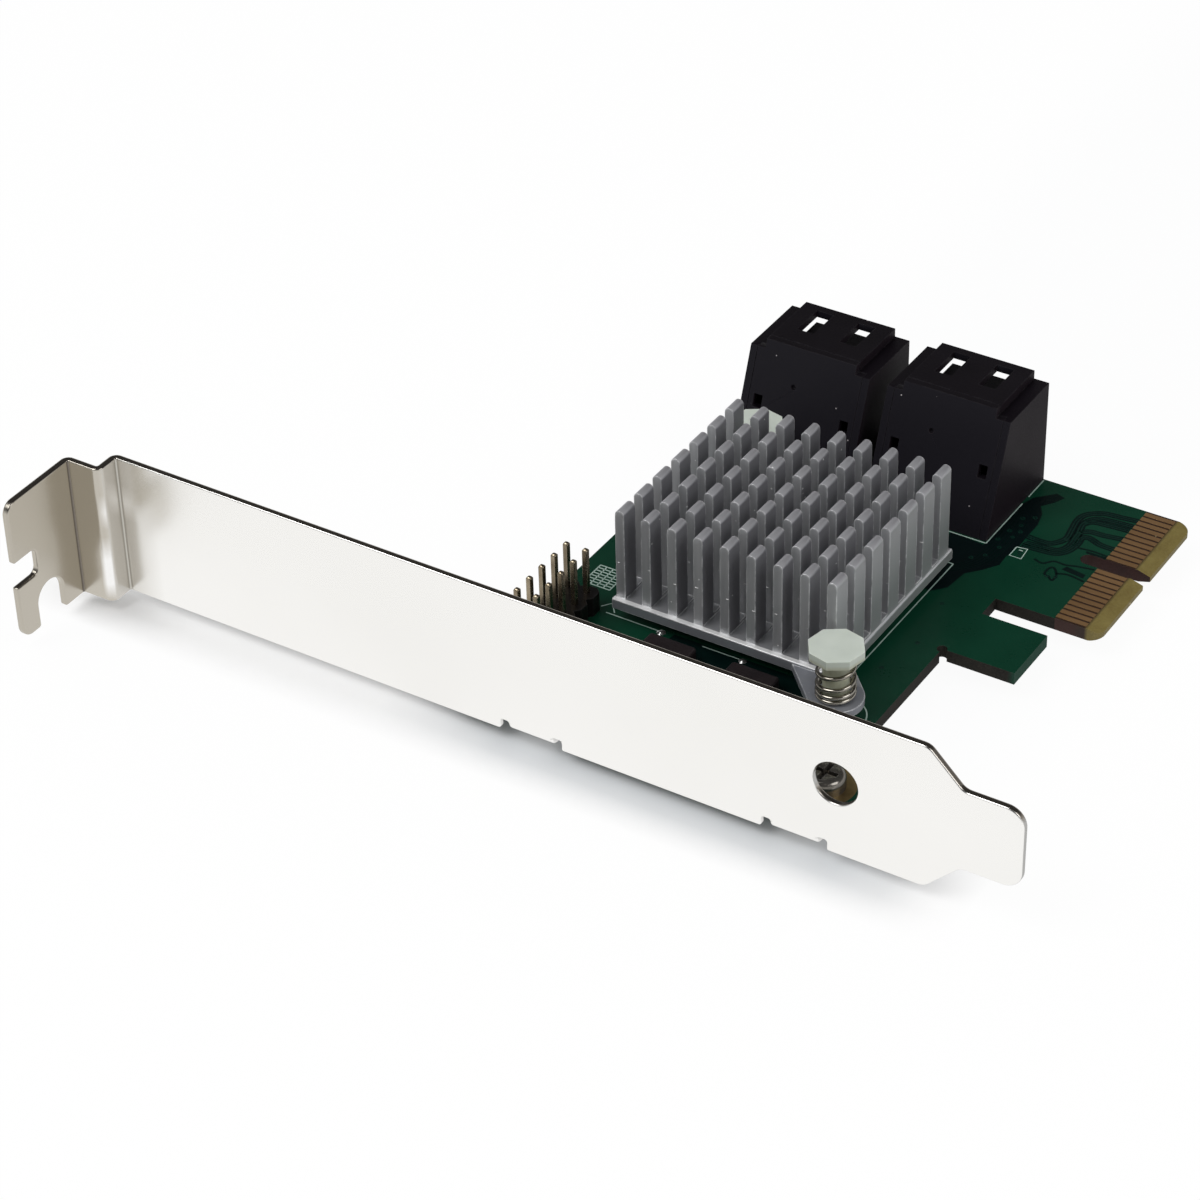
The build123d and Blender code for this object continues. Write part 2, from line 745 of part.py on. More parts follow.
with BuildPart() as inductor_terminals:
    for inductor_x in inductor_xs:
        for side in (1, -1):
            outside = inductor_x + side * (inductor_size / 2 + terminal_sheet / 2)
            with BuildSketch(Plane.XZ.offset(-inductor_y - terminal_width / 2)):
                with BuildLine():
                    Polyline(
                        (inductor_x + side * inductor_size / 4, board_top + terminal_sheet / 2),
                        (outside, board_top + terminal_sheet / 2),
                        (outside, board_top + terminal_height),
                    )
                trace(line_width=terminal_sheet)
            extrude(amount=terminal_width)
inductor_terminals.part.label = "inductor_terminals"
export_step(inductor_terminals.part, "parts/inductor_terminals.step")

# Flash memory chip with gull-wing leads
flash_low = board_top + flash_standoff
with BuildPart() as flash_chip:
    with BuildSketch(level(flash_low)):
        with Locations((flash_x, flash_y)):
            Rectangle(flash_length, flash_width)
    extrude(amount=flash_height)
flash_chip.part.label = "flash_chip"
export_step(flash_chip.part, "parts/flash_chip.step")

flash_shoulder = flash_low + flash_height / 2
with BuildPart() as flash_chip_leads:
    for side in (1, -1):
        for i in range(flash_leads_per_side):
            lead_x = flash_x + (i - (flash_leads_per_side - 1) / 2) * flash_lead_pitch
            with BuildSketch(Plane.YZ.offset(lead_x - flash_lead_width / 2)):
                with BuildLine():
                    FilletPolyline(
                        (flash_y + side * flash_width / 2, flash_shoulder),
                        (flash_y + side * (flash_width / 2 + flash_lead_reach - flash_lead_foot), flash_shoulder),
                        (flash_y + side * (flash_width / 2 + flash_lead_reach - flash_lead_foot),
                         board_top + flash_lead_sheet / 2),
                        (flash_y + side * (flash_width / 2 + flash_lead_reach), board_top + flash_lead_sheet / 2),
                        radius=flash_lead_sheet,
                    )
                trace(line_width=flash_lead_sheet)
            extrude(amount=flash_lead_width)
flash_chip_leads.part.label = "flash_chip_leads"
export_step(flash_chip_leads.part, "parts/flash_chip_leads.step")

# Clock crystal in its metal can
with BuildPart() as crystal:
    with BuildSketch(level(board_top)):
        with Locations((crystal_x, crystal_y)):
            RectangleRounded(crystal_length, crystal_width, crystal_edge_radius)
    extrude(amount=crystal_height)
crystal.part.label = "crystal"
export_step(crystal.part, "parts/crystal.step")

# Ceramic capacitors and their metal ends on both sides of the board
under_cap_y = block_mouth - upper_foot - under_cap_gap - (under_cap_rows - 1) * under_cap_pitch_y / 2 - cap_length / 2
top_cap_places = [(crystal_x + offset, top_cap_y) for offset in top_cap_offsets]
under_cap_places = [
    (block_x + (i - (under_cap_columns - 1) / 2) * under_cap_pitch_x,
     under_cap_y + (j - (under_cap_rows - 1) / 2) * under_cap_pitch_y)
    for _, block_x in block_places
    for i in range(under_cap_columns)
    for j in range(under_cap_rows)
]
cap_rows = [(board_top, top_cap_places), (board_bottom - cap_height, under_cap_places)]
with BuildPart() as ceramic_capacitors:
    for cap_base, places in cap_rows:
        with BuildSketch(level(cap_base)):
            with Locations(*places):
                Rectangle(cap_width, cap_length - 2 * cap_end)
        extrude(amount=cap_height)
ceramic_capacitors.part.label = "ceramic_capacitors"
export_step(ceramic_capacitors.part, "parts/ceramic_capacitors.step")

with BuildPart() as capacitor_ends:
    for cap_base, places in cap_rows:
        with BuildSketch(level(cap_base)):
            with Locations(*places):
                with GridLocations(0, cap_length - cap_end, 1, 2):
                    Rectangle(cap_width, cap_end)
        extrude(amount=cap_height)
capacitor_ends.part.label = "capacitor_ends"
export_step(capacitor_ends.part, "parts/capacitor_ends.step")
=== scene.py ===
import bmesh
import bpy
import math
from mathutils import Matrix, Vector


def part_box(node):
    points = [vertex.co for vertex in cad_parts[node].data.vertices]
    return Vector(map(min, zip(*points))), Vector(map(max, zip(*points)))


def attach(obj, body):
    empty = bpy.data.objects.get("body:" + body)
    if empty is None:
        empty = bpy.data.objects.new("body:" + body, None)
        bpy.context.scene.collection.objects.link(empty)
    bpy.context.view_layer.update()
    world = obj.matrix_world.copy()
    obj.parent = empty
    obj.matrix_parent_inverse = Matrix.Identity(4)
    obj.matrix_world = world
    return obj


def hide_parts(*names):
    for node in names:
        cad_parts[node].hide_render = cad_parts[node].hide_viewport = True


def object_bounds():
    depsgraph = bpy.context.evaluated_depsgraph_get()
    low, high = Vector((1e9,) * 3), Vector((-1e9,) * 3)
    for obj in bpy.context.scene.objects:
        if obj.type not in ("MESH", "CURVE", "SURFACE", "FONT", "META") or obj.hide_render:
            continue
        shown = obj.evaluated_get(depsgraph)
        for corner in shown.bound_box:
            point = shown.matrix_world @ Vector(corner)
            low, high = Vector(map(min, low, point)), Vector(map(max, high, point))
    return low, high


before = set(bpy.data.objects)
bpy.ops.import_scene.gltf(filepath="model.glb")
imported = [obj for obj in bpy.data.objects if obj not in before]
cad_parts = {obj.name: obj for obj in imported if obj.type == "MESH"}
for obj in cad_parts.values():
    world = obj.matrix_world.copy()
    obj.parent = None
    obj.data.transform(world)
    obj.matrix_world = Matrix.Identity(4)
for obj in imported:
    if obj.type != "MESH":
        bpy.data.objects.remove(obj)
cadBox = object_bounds()
mm = 0.001
print("frame loaded:", len(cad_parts), "nodes")


def addNode(tree, kind, **settings):
    node = tree.nodes.new(kind)
    for key, value in settings.items():
        setattr(node, key, value)
    return node


def setInputs(node, values):
    for key, value in values.items():
        node.inputs[key].default_value = value
    return node


def linkAll(tree, rows):  # each row: node, output, node, input
    for source, output, target, socket in rows:
        tree.links.new(source.outputs[output], target.inputs[socket])


def feed(tree, socket, value):  # numbers and colours are set, outputs of nodes are linked
    if isinstance(value, tuple):
        socket.default_value = (*value, 1.0)
    elif isinstance(value, (int, float)):
        socket.default_value = value
    else:
        tree.links.new(value, socket)


def mixColours(tree, factor, first, second):
    mix = addNode(tree, "ShaderNodeMix", data_type="RGBA")
    for index, value in ((0, factor), (6, first), (7, second)):
        feed(tree, mix.inputs[index], value)
    return mix.outputs[2]


def mathNode(tree, operation, first, second, clamp=False):
    node = addNode(tree, "ShaderNodeMath", operation=operation, use_clamp=clamp)
    feed(tree, node.inputs[0], first)
    feed(tree, node.inputs[1], second)
    return node.outputs[0]


def mapRange(tree, value, low, high, toLow=0.0, toHigh=1.0):
    node = addNode(tree, "ShaderNodeMapRange")
    setInputs(node, {"From Min": low, "From Max": high, "To Min": toLow, "To Max": toHigh})
    tree.links.new(value, node.inputs["Value"])
    return node.outputs["Result"]


def newGroup(name, inputs, outputs):
    group = bpy.data.node_groups.new(name, "ShaderNodeTree")
    for label, value in inputs.items():
        kind = "NodeSocketVector" if isinstance(value, tuple) else "NodeSocketFloat"
        socket = group.interface.new_socket(name=label, in_out="INPUT", socket_type=kind)
        socket.default_value = value
    for label in outputs:
        group.interface.new_socket(name=label, in_out="OUTPUT", socket_type="NodeSocketFloat")
    return group, addNode(group, "NodeGroupInput"), addNode(group, "NodeGroupOutput")


def makeGrainGroup():  # soft cloudy variation and fine grain, each a value about 0.5
    group, source, result = newGroup(
        "surfaceGrain", {"Cloud Scale": 60.0, "Grain Scale": 2500.0, "Stretch": (1.0, 1.0, 1.0)}, ["Cloud", "Grain"])
    coords = addNode(group, "ShaderNodeTexCoord")
    stretched = addNode(group, "ShaderNodeVectorMath", operation="MULTIPLY")
    linkAll(group, [(coords, "Object", stretched, 0), (source, "Stretch", stretched, 1)])
    for label, detail in (("Cloud", 3.0), ("Grain", 4.0)):
        noise = setInputs(addNode(group, "ShaderNodeTexNoise"), {"Detail": detail, "Roughness": 0.55})
        linkAll(group, [(stretched, 0, noise, "Vector"), (source, label + " Scale", noise, "Scale"),
                        (noise, "Fac", result, label)])
    return group


def makeSpeckGroup():  # sparse dust specks and nicks as a mask
    group, source, result = newGroup("fineSpecks", {"Spacing": 400.0, "Size": 0.12, "Share": 0.2}, ["Mask"])
    coords = addNode(group, "ShaderNodeTexCoord")
    cells = addNode(group, "ShaderNodeTexVoronoi")
    parts = addNode(group, "ShaderNodeSeparateColor")
    linkAll(group, [(coords, "Object", cells, "Vector"), (source, "Spacing", cells, "Scale"),
                    (cells, "Color", parts, 0)])
    inside = mathNode(group, "LESS_THAN", cells.outputs["Distance"], source.outputs["Size"])
    chosen = mathNode(group, "LESS_THAN", parts.outputs[0], source.outputs["Share"])
    group.links.new(mathNode(group, "MULTIPLY", inside, chosen), result.inputs["Mask"])
    return group


def makeWearGroup():  # bright edges where the rounded normal leaves the true one: real wear on some finishes, painted highlights on others
    group, source, result = newGroup("edgeWearAndSheen", {"Radius": 0.0002, "Strength": 1.0, "Breakup": 900.0}, ["Mask"])
    rounded = addNode(group, "ShaderNodeBevel", samples=4)
    geometry = addNode(group, "ShaderNodeNewGeometry")
    dot = addNode(group, "ShaderNodeVectorMath", operation="DOT_PRODUCT")
    coords = addNode(group, "ShaderNodeTexCoord")
    noise = setInputs(addNode(group, "ShaderNodeTexNoise"), {"Detail": 2.0})
    linkAll(group, [(source, "Radius", rounded, "Radius"), (rounded, 0, dot, 0), (geometry, "Normal", dot, 1),
                    (coords, "Object", noise, "Vector"), (source, "Breakup", noise, "Scale")])
    edge = mapRange(group, dot.outputs["Value"], 0.995, 0.92)
    broken = mathNode(group, "MULTIPLY", edge, mapRange(group, noise.outputs["Fac"], 0.3, 0.6))
    group.links.new(mathNode(group, "MULTIPLY", broken, source.outputs["Strength"], clamp=True), result.inputs["Mask"])
    return group


grainGroup = makeGrainGroup()
speckGroup = makeSpeckGroup()
wearAndSheenGroup = makeWearGroup()


def placeGroup(tree, group, values):
    return setInputs(addNode(tree, "ShaderNodeGroup", node_tree=group), values)


def startMaterial(name, constants):
    material = bpy.data.materials.new(name)
    material.use_nodes = True
    shader = material.node_tree.nodes["Principled BSDF"]
    setInputs(shader, constants)
    return material, material.node_tree, shader


def axisStep(tree, node, output, axis, low, high):
    parts = addNode(tree, "ShaderNodeSeparateXYZ")
    tree.links.new(node.outputs[output], parts.inputs[0])
    return mapRange(tree, parts.outputs[axis], low, high)


def alongAxis(tree, axis, start, end):  # 0 to 1 between two places on one axis of the piece
    return axisStep(tree, addNode(tree, "ShaderNodeTexCoord"), "Object", axis, start * mm, end * mm)


def facingAxis(tree, axis, low, high):  # 0 to 1 as the surface turns towards the axis
    return axisStep(tree, addNode(tree, "ShaderNodeNewGeometry"), "Normal", axis, low, high)


def placeMask(tree, along, facing=()):  # 1 where every limit is met
    steps = [alongAxis(tree, *limits) for limits in along] + [facingAxis(tree, *limits) for limits in facing]
    mask = steps[0]
    for step in steps[1:]:
        mask = mathNode(tree, "MULTIPLY", mask, step)
    return mask


def grainyMaterial(name, look):
    # one recipe, many finishes: cloudy colour, tinted places (some of them painted shade and painted highlights), edges
    # brightened by wear and painted sheen, specks, grain bump
    material, tree, shader = startMaterial(name, look.get("shader", {}))
    grain = placeGroup(tree, grainGroup, {
        "Cloud Scale": look.get("cloudScale", 60.0), "Grain Scale": look.get("grainScale", 2500.0),
        "Stretch": look.get("stretch", (1.0, 1.0, 1.0))})
    cloud, fine = (mapRange(tree, grain.outputs[label], 0.3, 0.7) for label in ("Cloud", "Grain"))
    colour = mixColours(tree, cloud, look["dark"], look["light"])
    if "fineTint" in look:
        share = mathNode(tree, "MULTIPLY", fine, look["fineShare"])
        colour = mixColours(tree, share, colour, look["fineTint"])
    for place in look.get("places", ()):
        mask = placeMask(tree, place.get("along", ()), place.get("facing", ()))
        colour = mixColours(tree, mask, colour, place["colour"])
    if "wear" in look:
        wear = placeGroup(tree, wearAndSheenGroup, {
            "Radius": look.get("wearAndSheenRadius", 0.0002), "Strength": look.get("wearAndSheenStrength", 0.7)})
        colour = mixColours(tree, wear.outputs["Mask"], colour, look["wear"])
    if "speck" in look:
        specks = placeGroup(tree, speckGroup, {
            "Spacing": look["speckSpacing"], "Size": look["speckSize"], "Share": look["speckShare"]})
        colour = mixColours(tree, specks.outputs["Mask"], colour, look["speck"])
    tree.links.new(colour, shader.inputs["Base Color"])
    roughLow, roughHigh = look["rough"]
    blend = mathNode(tree, "ADD", mathNode(tree, "MULTIPLY", cloud, 0.6), mathNode(tree, "MULTIPLY", fine, 0.4))
    tree.links.new(mapRange(tree, blend, 0.0, 1.0, roughLow, roughHigh), shader.inputs["Roughness"])
    bump = setInputs(addNode(tree, "ShaderNodeBump"), {"Strength": look.get("bump", 0.15), "Distance": 0.02 * mm})
    tree.links.new(fine, bump.inputs["Height"])
    tree.links.new(bump.outputs["Normal"], shader.inputs["Normal"])
    return material


def link(obj):
    bpy.context.scene.collection.objects.link(obj)
    return obj


def baked(obj, name):  # the evaluated object as a plain mesh
    bpy.context.view_layer.update()
    graph = bpy.context.evaluated_depsgraph_get()
    mesh = bpy.data.meshes.new_from_object(obj.evaluated_get(graph))
    bpy.data.objects.remove(obj)
    mesh.name = name
    return link(bpy.data.objects.new(name, mesh))


def smoothShade(obj, angle):
    for polygon in obj.data.polygons:
        polygon.use_smooth = True
    obj.data.set_sharp_from_angle(angle=math.radians(angle))
    return obj


def refinedCopy(nodeName, name, rounding, segments=2, edit=None, limit=40.0, merge=True, clamp=True):
    mesh = bmesh.new()
    mesh.from_mesh(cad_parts[nodeName].data)
    bmesh.ops.remove_doubles(mesh, verts=mesh.verts, dist=1e-6)
    if merge:  # flat faces become whole before their edges are rounded
        bmesh.ops.dissolve_limit(mesh, angle_limit=math.radians(0.6), verts=mesh.verts, edges=mesh.edges)
    if edit:
        edit(mesh)
    data = bpy.data.meshes.new(name)
    mesh.to_mesh(data)
    mesh.free()
    obj = link(bpy.data.objects.new(name, data))
    for polygon in data.polygons:
        polygon.use_smooth = True
    if rounding:
        bevel = obj.modifiers.new("roundedEdges", "BEVEL")
        bevel.width = rounding * mm
        bevel.segments = segments
        bevel.limit_method = "ANGLE"
        bevel.angle_limit = math.radians(limit)
        bevel.use_clamp_overlap = clamp
        bevel.miter_outer = "MITER_ARC"
    data.set_sharp_from_angle(angle=math.radians(50))
    weighted = obj.modifiers.new("flatFaces", "WEIGHTED_NORMAL")
    weighted.weight = 90
    weighted.keep_sharp = True
    return baked(obj, name)


def mount(obj, slotName, *replaced):
    if replaced:
        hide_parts(*replaced)
    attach(obj, "root")
    return obj


def dressed(nodeName, name, finish, slotName, rounding, segments=2, **options):  # refined, painted and mounted
    piece = refinedCopy(nodeName, name, rounding, segments, **options)
    piece.data.materials.append(finish)
    return mount(piece, slotName, nodeName)


def meshObject(name, vertices, faces=(), edges=(), materials=()):
    data = bpy.data.meshes.new(name)
    data.from_pydata([tuple(c * mm for c in v) for v in vertices], edges, faces)
    for material in materials:
        data.materials.append(material)
    return link(bpy.data.objects.new(name, data))


def startTree(name, inputs):  # every tree takes the paths or points and a finish
    tree = bpy.data.node_groups.new(name, "GeometryNodeTree")
    tree.interface.new_socket(name="Geometry", in_out="INPUT", socket_type="NodeSocketGeometry")
    sockets = {}
    for label, kind in inputs + [("Finish", "Material")]:
        socket = tree.interface.new_socket(name=label, in_out="INPUT", socket_type="NodeSocket" + kind)
        sockets[label] = socket.identifier
    tree.interface.new_socket(name="Geometry", in_out="OUTPUT", socket_type="NodeSocketGeometry")
    return tree, addNode(tree, "NodeGroupInput"), sockets


def endTree(tree, source, last, output):  # real geometry in the finish
    real = addNode(tree, "GeometryNodeRealizeInstances")
    paint = addNode(tree, "GeometryNodeSetMaterial")
    linkAll(tree, [(last, output, real, "Geometry"), (real, "Geometry", paint, "Geometry"),
                   (source, "Finish", paint, "Material"),
                   (paint, "Geometry", addNode(tree, "NodeGroupOutput"), "Geometry")])


def makeSweepTree(name, sectionKind, sizes, flat):  # a section carried along edge chains
    tree, source, sockets = startTree(name, [(size, "Float") for size in sizes] + [("Smooth Steps", "Int")])
    curve = addNode(tree, "GeometryNodeMeshToCurve")
    kind = addNode(tree, "GeometryNodeCurveSplineType", spline_type="CATMULL_ROM")
    steps = addNode(tree, "GeometryNodeSetSplineResolution")
    section = addNode(tree, sectionKind)
    sweep = setInputs(addNode(tree, "GeometryNodeCurveToMesh"), {"Fill Caps": True})
    linkAll(tree, [(source, "Geometry", curve, "Mesh"), (curve, "Curve", kind, "Curve"),
                   (kind, "Curve", steps, "Geometry"), (source, "Smooth Steps", steps, "Resolution"),
                   (section, "Curve", sweep, "Profile Curve")] + [(source, size, section, size) for size in sizes])
    if flat:
        level = addNode(tree, "GeometryNodeSetCurveNormal", mode="Z_UP")
        linkAll(tree, [(steps, "Geometry", level, "Curve"), (level, "Curve", sweep, "Curve")])
    else:
        setInputs(section, {"Resolution": 16})
        linkAll(tree, [(steps, "Geometry", sweep, "Curve")])
    endTree(tree, source, sweep, "Mesh")
    return tree, sockets


def makeStudTree():  # one small form set on every point: solder joints, vias, pads, burrs
    tree, source, sockets = startTree("studsOnPoints", [
        ("Form", "Object"), ("Size Spread", "Float"), ("Turn Spread", "Float"), ("Seed", "Int")])
    form = addNode(tree, "GeometryNodeObjectInfo", transform_space="ORIGINAL")
    place = addNode(tree, "GeometryNodeInstanceOnPoints")
    scale = addNode(tree, "FunctionNodeRandomValue", data_type="FLOAT")
    turn = addNode(tree, "FunctionNodeRandomValue", data_type="FLOAT")
    low = setInputs(addNode(tree, "ShaderNodeMath", operation="SUBTRACT"), {0: 1.0})
    high = setInputs(addNode(tree, "ShaderNodeMath", operation="ADD"), {0: 1.0})
    angles = addNode(tree, "ShaderNodeCombineXYZ")
    linkAll(tree, [
        (source, "Geometry", place, "Points"), (source, "Form", form, "Object"), (form, "Geometry", place, "Instance"),
        (source, "Size Spread", low, 1), (source, "Size Spread", high, 1), (low, 0, scale, 2), (high, 0, scale, 3),
        (source, "Seed", scale, "Seed"), (source, "Turn Spread", turn, 3), (source, "Seed", turn, "Seed"),
        (turn, 1, angles, "Z"), (angles, 0, place, "Rotation"), (scale, 1, place, "Scale")])
    endTree(tree, source, place, "Instances")
    return tree, sockets


ribbonTree = makeSweepTree("bandAlongPath", "GeometryNodeCurvePrimitiveQuadrilateral", ["Width", "Height"], True)
wireTree = makeSweepTree("wireAlongPath", "GeometryNodeCurvePrimitiveCircle", ["Radius"], False)
studTree = makeStudTree()


def runTree(obj, treeAndSockets, values, name):
    tree, sockets = treeAndSockets
    modifier = obj.modifiers.new("build", "NODES")
    modifier.node_group = tree
    for label, value in values.items():
        modifier[sockets[label]] = value
    return baked(obj, name)


def chains(name, paths):  # open polylines as edges of one mesh
    vertices, edges = [], []
    for path in paths:
        start = len(vertices)
        vertices += path
        edges += [(start + i, start + i + 1) for i in range(len(path) - 1)]
    return meshObject(name, vertices, edges=edges)


def bands(name, paths, width, height, finish, steps=6):
    piece = runTree(chains(name + "Path", paths), ribbonTree,
                    {"Width": width * mm, "Height": height * mm, "Smooth Steps": steps, "Finish": finish}, name)
    piece.data.shade_flat()
    return piece


def studs(name, points, form, finish, sizeSpread=0.0, turnSpread=0.0, seed=4):
    piece = runTree(meshObject(name + "Points", points), studTree, {
        "Form": form, "Size Spread": sizeSpread, "Turn Spread": turnSpread, "Seed": seed, "Finish": finish}, name)
    return smoothShade(piece, 40.0)


def turnedForm(name, profile, sides):  # a small turned shape from (radius, height) pairs, closed at both ends
    turns = [2 * math.pi * i / sides for i in range(sides)]
    vertices = [(radius * math.cos(turn), radius * math.sin(turn), height)
                for radius, height in profile for turn in turns]
    faces = []
    for ring in range(len(profile) - 1):
        for i in range(sides):
            a, b = ring * sides + i, ring * sides + (i + 1) % sides
            faces.append((a, b, b + sides, a + sides))
    faces.append(tuple(reversed(range(sides))))
    faces.append(tuple(range((len(profile) - 1) * sides, len(profile) * sides)))
    return facesOut(meshObject(name, vertices, faces))


def facesOut(obj):
    mesh = bmesh.new()
    mesh.from_mesh(obj.data)
    bmesh.ops.recalc_face_normals(mesh, faces=mesh.faces)
    mesh.to_mesh(obj.data)
    mesh.free()
    return obj


def scaledForm(form, x, y, z):  # a minus sign turns the form over
    for vertex in form.data.vertices:
        vertex.co = (vertex.co.x * x, vertex.co.y * y, vertex.co.z * z)
    return facesOut(form)


def joined(name, pieces):
    mesh = bmesh.new()
    materials = []
    for piece in pieces:
        start = len(materials)
        materials += list(piece.data.materials) or [None]
        part = bmesh.new()
        part.from_mesh(piece.data)
        for face in part.faces:
            face.material_index += start
        temp = bpy.data.meshes.new("temp")
        part.to_mesh(temp)
        part.free()
        mesh.from_mesh(temp)
        bpy.data.meshes.remove(temp)
        bpy.data.objects.remove(piece)
    data = bpy.data.meshes.new(name)
    mesh.to_mesh(data)
    mesh.free()
    for material in materials:
        data.materials.append(material)
    return link(bpy.data.objects.new(name, data))


nickel = grainyMaterial("nickelPlate", {
    "dark": (0.925, 0.915, 0.885), "light": (0.960, 0.950, 0.925), "cloudScale": 28.0, "grainScale": 1500.0,
    "rough": (0.22, 0.28), "bump": 0.010, "shader": {"Metallic": 1.0},
    # painted shade: the plate gets darker in steps towards the neck and flange, standing in for dark reflections there
    "places": [{"along": [("X", -96.5, -101.2)], "colour": (0.70, 0.68, 0.635)},
               {"along": [("X", -100.9, -102.0)], "colour": (0.55, 0.515, 0.45)},
               {"along": [("X", -105.5, -105.9)], "colour": (0.50, 0.465, 0.40)},
               # painted highlights: two light patches on the jog wall, upper and lower
               {"along": [("X", -102.4, -101.5), ("X", -98.6, -100.4), ("Z", 8.4, 10.6), ("Z", 13.2, 11.0)],
                "colour": (0.97, 0.96, 0.94)},
               {"along": [("X", -103.0, -102.3), ("X", -100.9, -101.5), ("Z", -1.4, 0.8), ("Z", 7.4, 4.2)],
                "colour": (0.95, 0.945, 0.93)},
               # painted shade in the jog's concave bend, damping its highlight line
               {"along": [("X", -101.75, -101.65), ("X", -101.35, -101.45), ("Y", -58.1, -58.3)],
                "colour": (0.60, 0.575, 0.53)},
               {"along": [("X", -101.72, -101.62), ("X", -101.15, -101.3), ("Y", -58.4, -58.22)],
                "colour": (0.52, 0.50, 0.455)},
               # painted shade: a dark thin line in the flange's bend crease
               {"along": [("X", -105.78, -105.86), ("Y", -61.10, -61.14), ("Y", -61.38, -61.30)],
                "colour": (0.16, 0.14, 0.12)},
               # upward faces darker: partly the darker stamped cut edges, partly painted shade
               {"facing": [("Z", 0.35, 0.6), ("Y", -0.55, -0.3)], "colour": (0.40, 0.36, 0.31)}],
    # bright edge rim: a painted highlight
    "wear": (0.97, 0.97, 0.92), "wearAndSheenRadius": 0.0001, "wearAndSheenStrength": 0.1,
    "speck": (0.70, 0.68, 0.64), "speckSpacing": 150.0, "speckSize": 0.03, "speckShare": 0.10})
screwSteel = grainyMaterial("screwSteel", {
    "dark": (0.17, 0.155, 0.135), "light": (0.32, 0.30, 0.27), "cloudScale": 300.0, "grainScale": 4000.0,
    "rough": (0.12, 0.22), "bump": 0.10, "shader": {"Metallic": 0.85}, "wear": (0.7, 0.66, 0.62), "wearAndSheenStrength": 0.6})
aluminium = grainyMaterial("rawAluminium", {
    "dark": (0.30, 0.305, 0.32), "light": (0.42, 0.425, 0.44), "cloudScale": 150.0, "grainScale": 1100.0,
    "stretch": (1.0, 1.0, 0.10), "rough": (0.32, 0.46), "bump": 0.3, "shader": {"Metallic": 0.45},
    "fineTint": (0.56, 0.565, 0.58), "fineShare": 0.4,
    # painted shade on the +X faces, with painted light on the outer side face, lighter above
    "places": [{"facing": [("X", 0.6, 0.9)], "colour": (0.255, 0.255, 0.275)},
               {"facing": [("X", 0.6, 0.9)], "along": [("X", -20.3, -20.1)], "colour": (0.29, 0.315, 0.31)},
               {"facing": [("X", 0.6, 0.9)], "along": [("X", -20.3, -20.1), ("Z", 7.0, 14.0)],
                "colour": (0.47, 0.475, 0.49)},
               # painted shade on the fin tops and a painted highlight on their front rounded tips
               {"facing": [("Z", 0.6, 0.9)], "along": [("Z", 14.8, 15.4)], "colour": (0.30, 0.295, 0.315)},
               {"facing": [("Z", 0.25, 0.5), ("Y", 0.15, -0.15)], "along": [("Z", 14.8, 15.2)],
                "colour": (0.40, 0.40, 0.42)},
               # painted shade on the saw floor between the fins, painted highlights on the front and side ledge rims
               {"facing": [("Z", 0.6, 0.9)], "along": [("Z", 4.6, 4.2), ("Z", 3.55, 3.70)],
                "colour": (0.31, 0.315, 0.33)},
               {"facing": [("Z", 0.6, 0.9)], "along": [("Z", 3.98, 3.85), ("Z", 3.55, 3.70), ("Y", -36.93, -36.98)],
                "colour": (1.0, 1.0, 1.0)},
               {"facing": [("Z", 0.6, 0.9)], "along": [("Z", 3.98, 3.85), ("Z", 3.55, 3.70), ("X", -20.25, -20.15)],
                "colour": (0.85, 0.85, 0.87)},
               # painted shade on the base's front face
               {"along": [("Z", 3.72, 3.66), ("Z", 2.3, 2.5), ("Y", -37.4, -37.5)], "colour": (0.27, 0.28, 0.31)}],
    # bright fin and base edges: painted highlights
    "wear": (0.95, 0.96, 0.97), "wearAndSheenRadius": 0.0002, "wearAndSheenStrength": 1.0,
    "speck": (1.0, 1.0, 1.0), "speckSpacing": 800.0, "speckSize": 0.09, "speckShare": 0.16})
burrMetal = grainyMaterial("sawBurr", {
    "dark": (0.70, 0.70, 0.70), "light": (0.88, 0.88, 0.88), "rough": (0.3, 0.45), "shader": {"Metallic": 0.4}})
solderMask = grainyMaterial("solderMask", {
    "dark": (0.0026, 0.0330, 0.0170), "light": (0.0038, 0.0430, 0.0225), "cloudScale": 120.0, "grainScale": 3000.0,
    "rough": (0.26, 0.33), "bump": 0.015, "shader": {"Specular IOR Level": 0.2}})
channelMask = grainyMaterial("clearanceChannel", {
    "dark": (0.0011, 0.0062, 0.0058), "light": (0.0016, 0.0095, 0.0082), "cloudScale": 300.0, "grainScale": 3000.0,
    "rough": (0.28, 0.4), "bump": 0.05, "shader": {"Specular IOR Level": 0.12}})
deepMask = grainyMaterial("darkField", {
    "dark": (0.0010, 0.0045, 0.0052), "light": (0.0014, 0.0065, 0.0068), "cloudScale": 200.0, "grainScale": 3000.0,
    "rough": (0.28, 0.4), "bump": 0.05, "shader": {"Specular IOR Level": 0.2}})
traceMask = grainyMaterial("coveredTrace", {
    "dark": (0.0032, 0.0205, 0.0145), "light": (0.0042, 0.0270, 0.0180), "cloudScale": 300.0, "grainScale": 3000.0,
    "rough": (0.24, 0.34), "bump": 0.05, "shader": {"Specular IOR Level": 0.2}})
laminate = grainyMaterial("bareLaminate", {
    "dark": (0.130, 0.094, 0.024), "light": (0.185, 0.145, 0.036), "cloudScale": 350.0, "grainScale": 3500.0,
    "rough": (0.34, 0.5), "bump": 0.2, "fineTint": (0.25, 0.20, 0.06), "fineShare": 0.3,
    "places": [{"along": [("X", -1.55, -2.0)], "colour": (0.030, 0.014, 0.008)},
               {"along": [("X", -2.6, -3.6)], "facing": [("Y", -0.6, -0.9)], "colour": (0.040, 0.012, 0.008)}],
    "speck": (0.55, 0.45, 0.25), "speckSpacing": 1100.0, "speckSize": 0.14, "speckShare": 0.05})
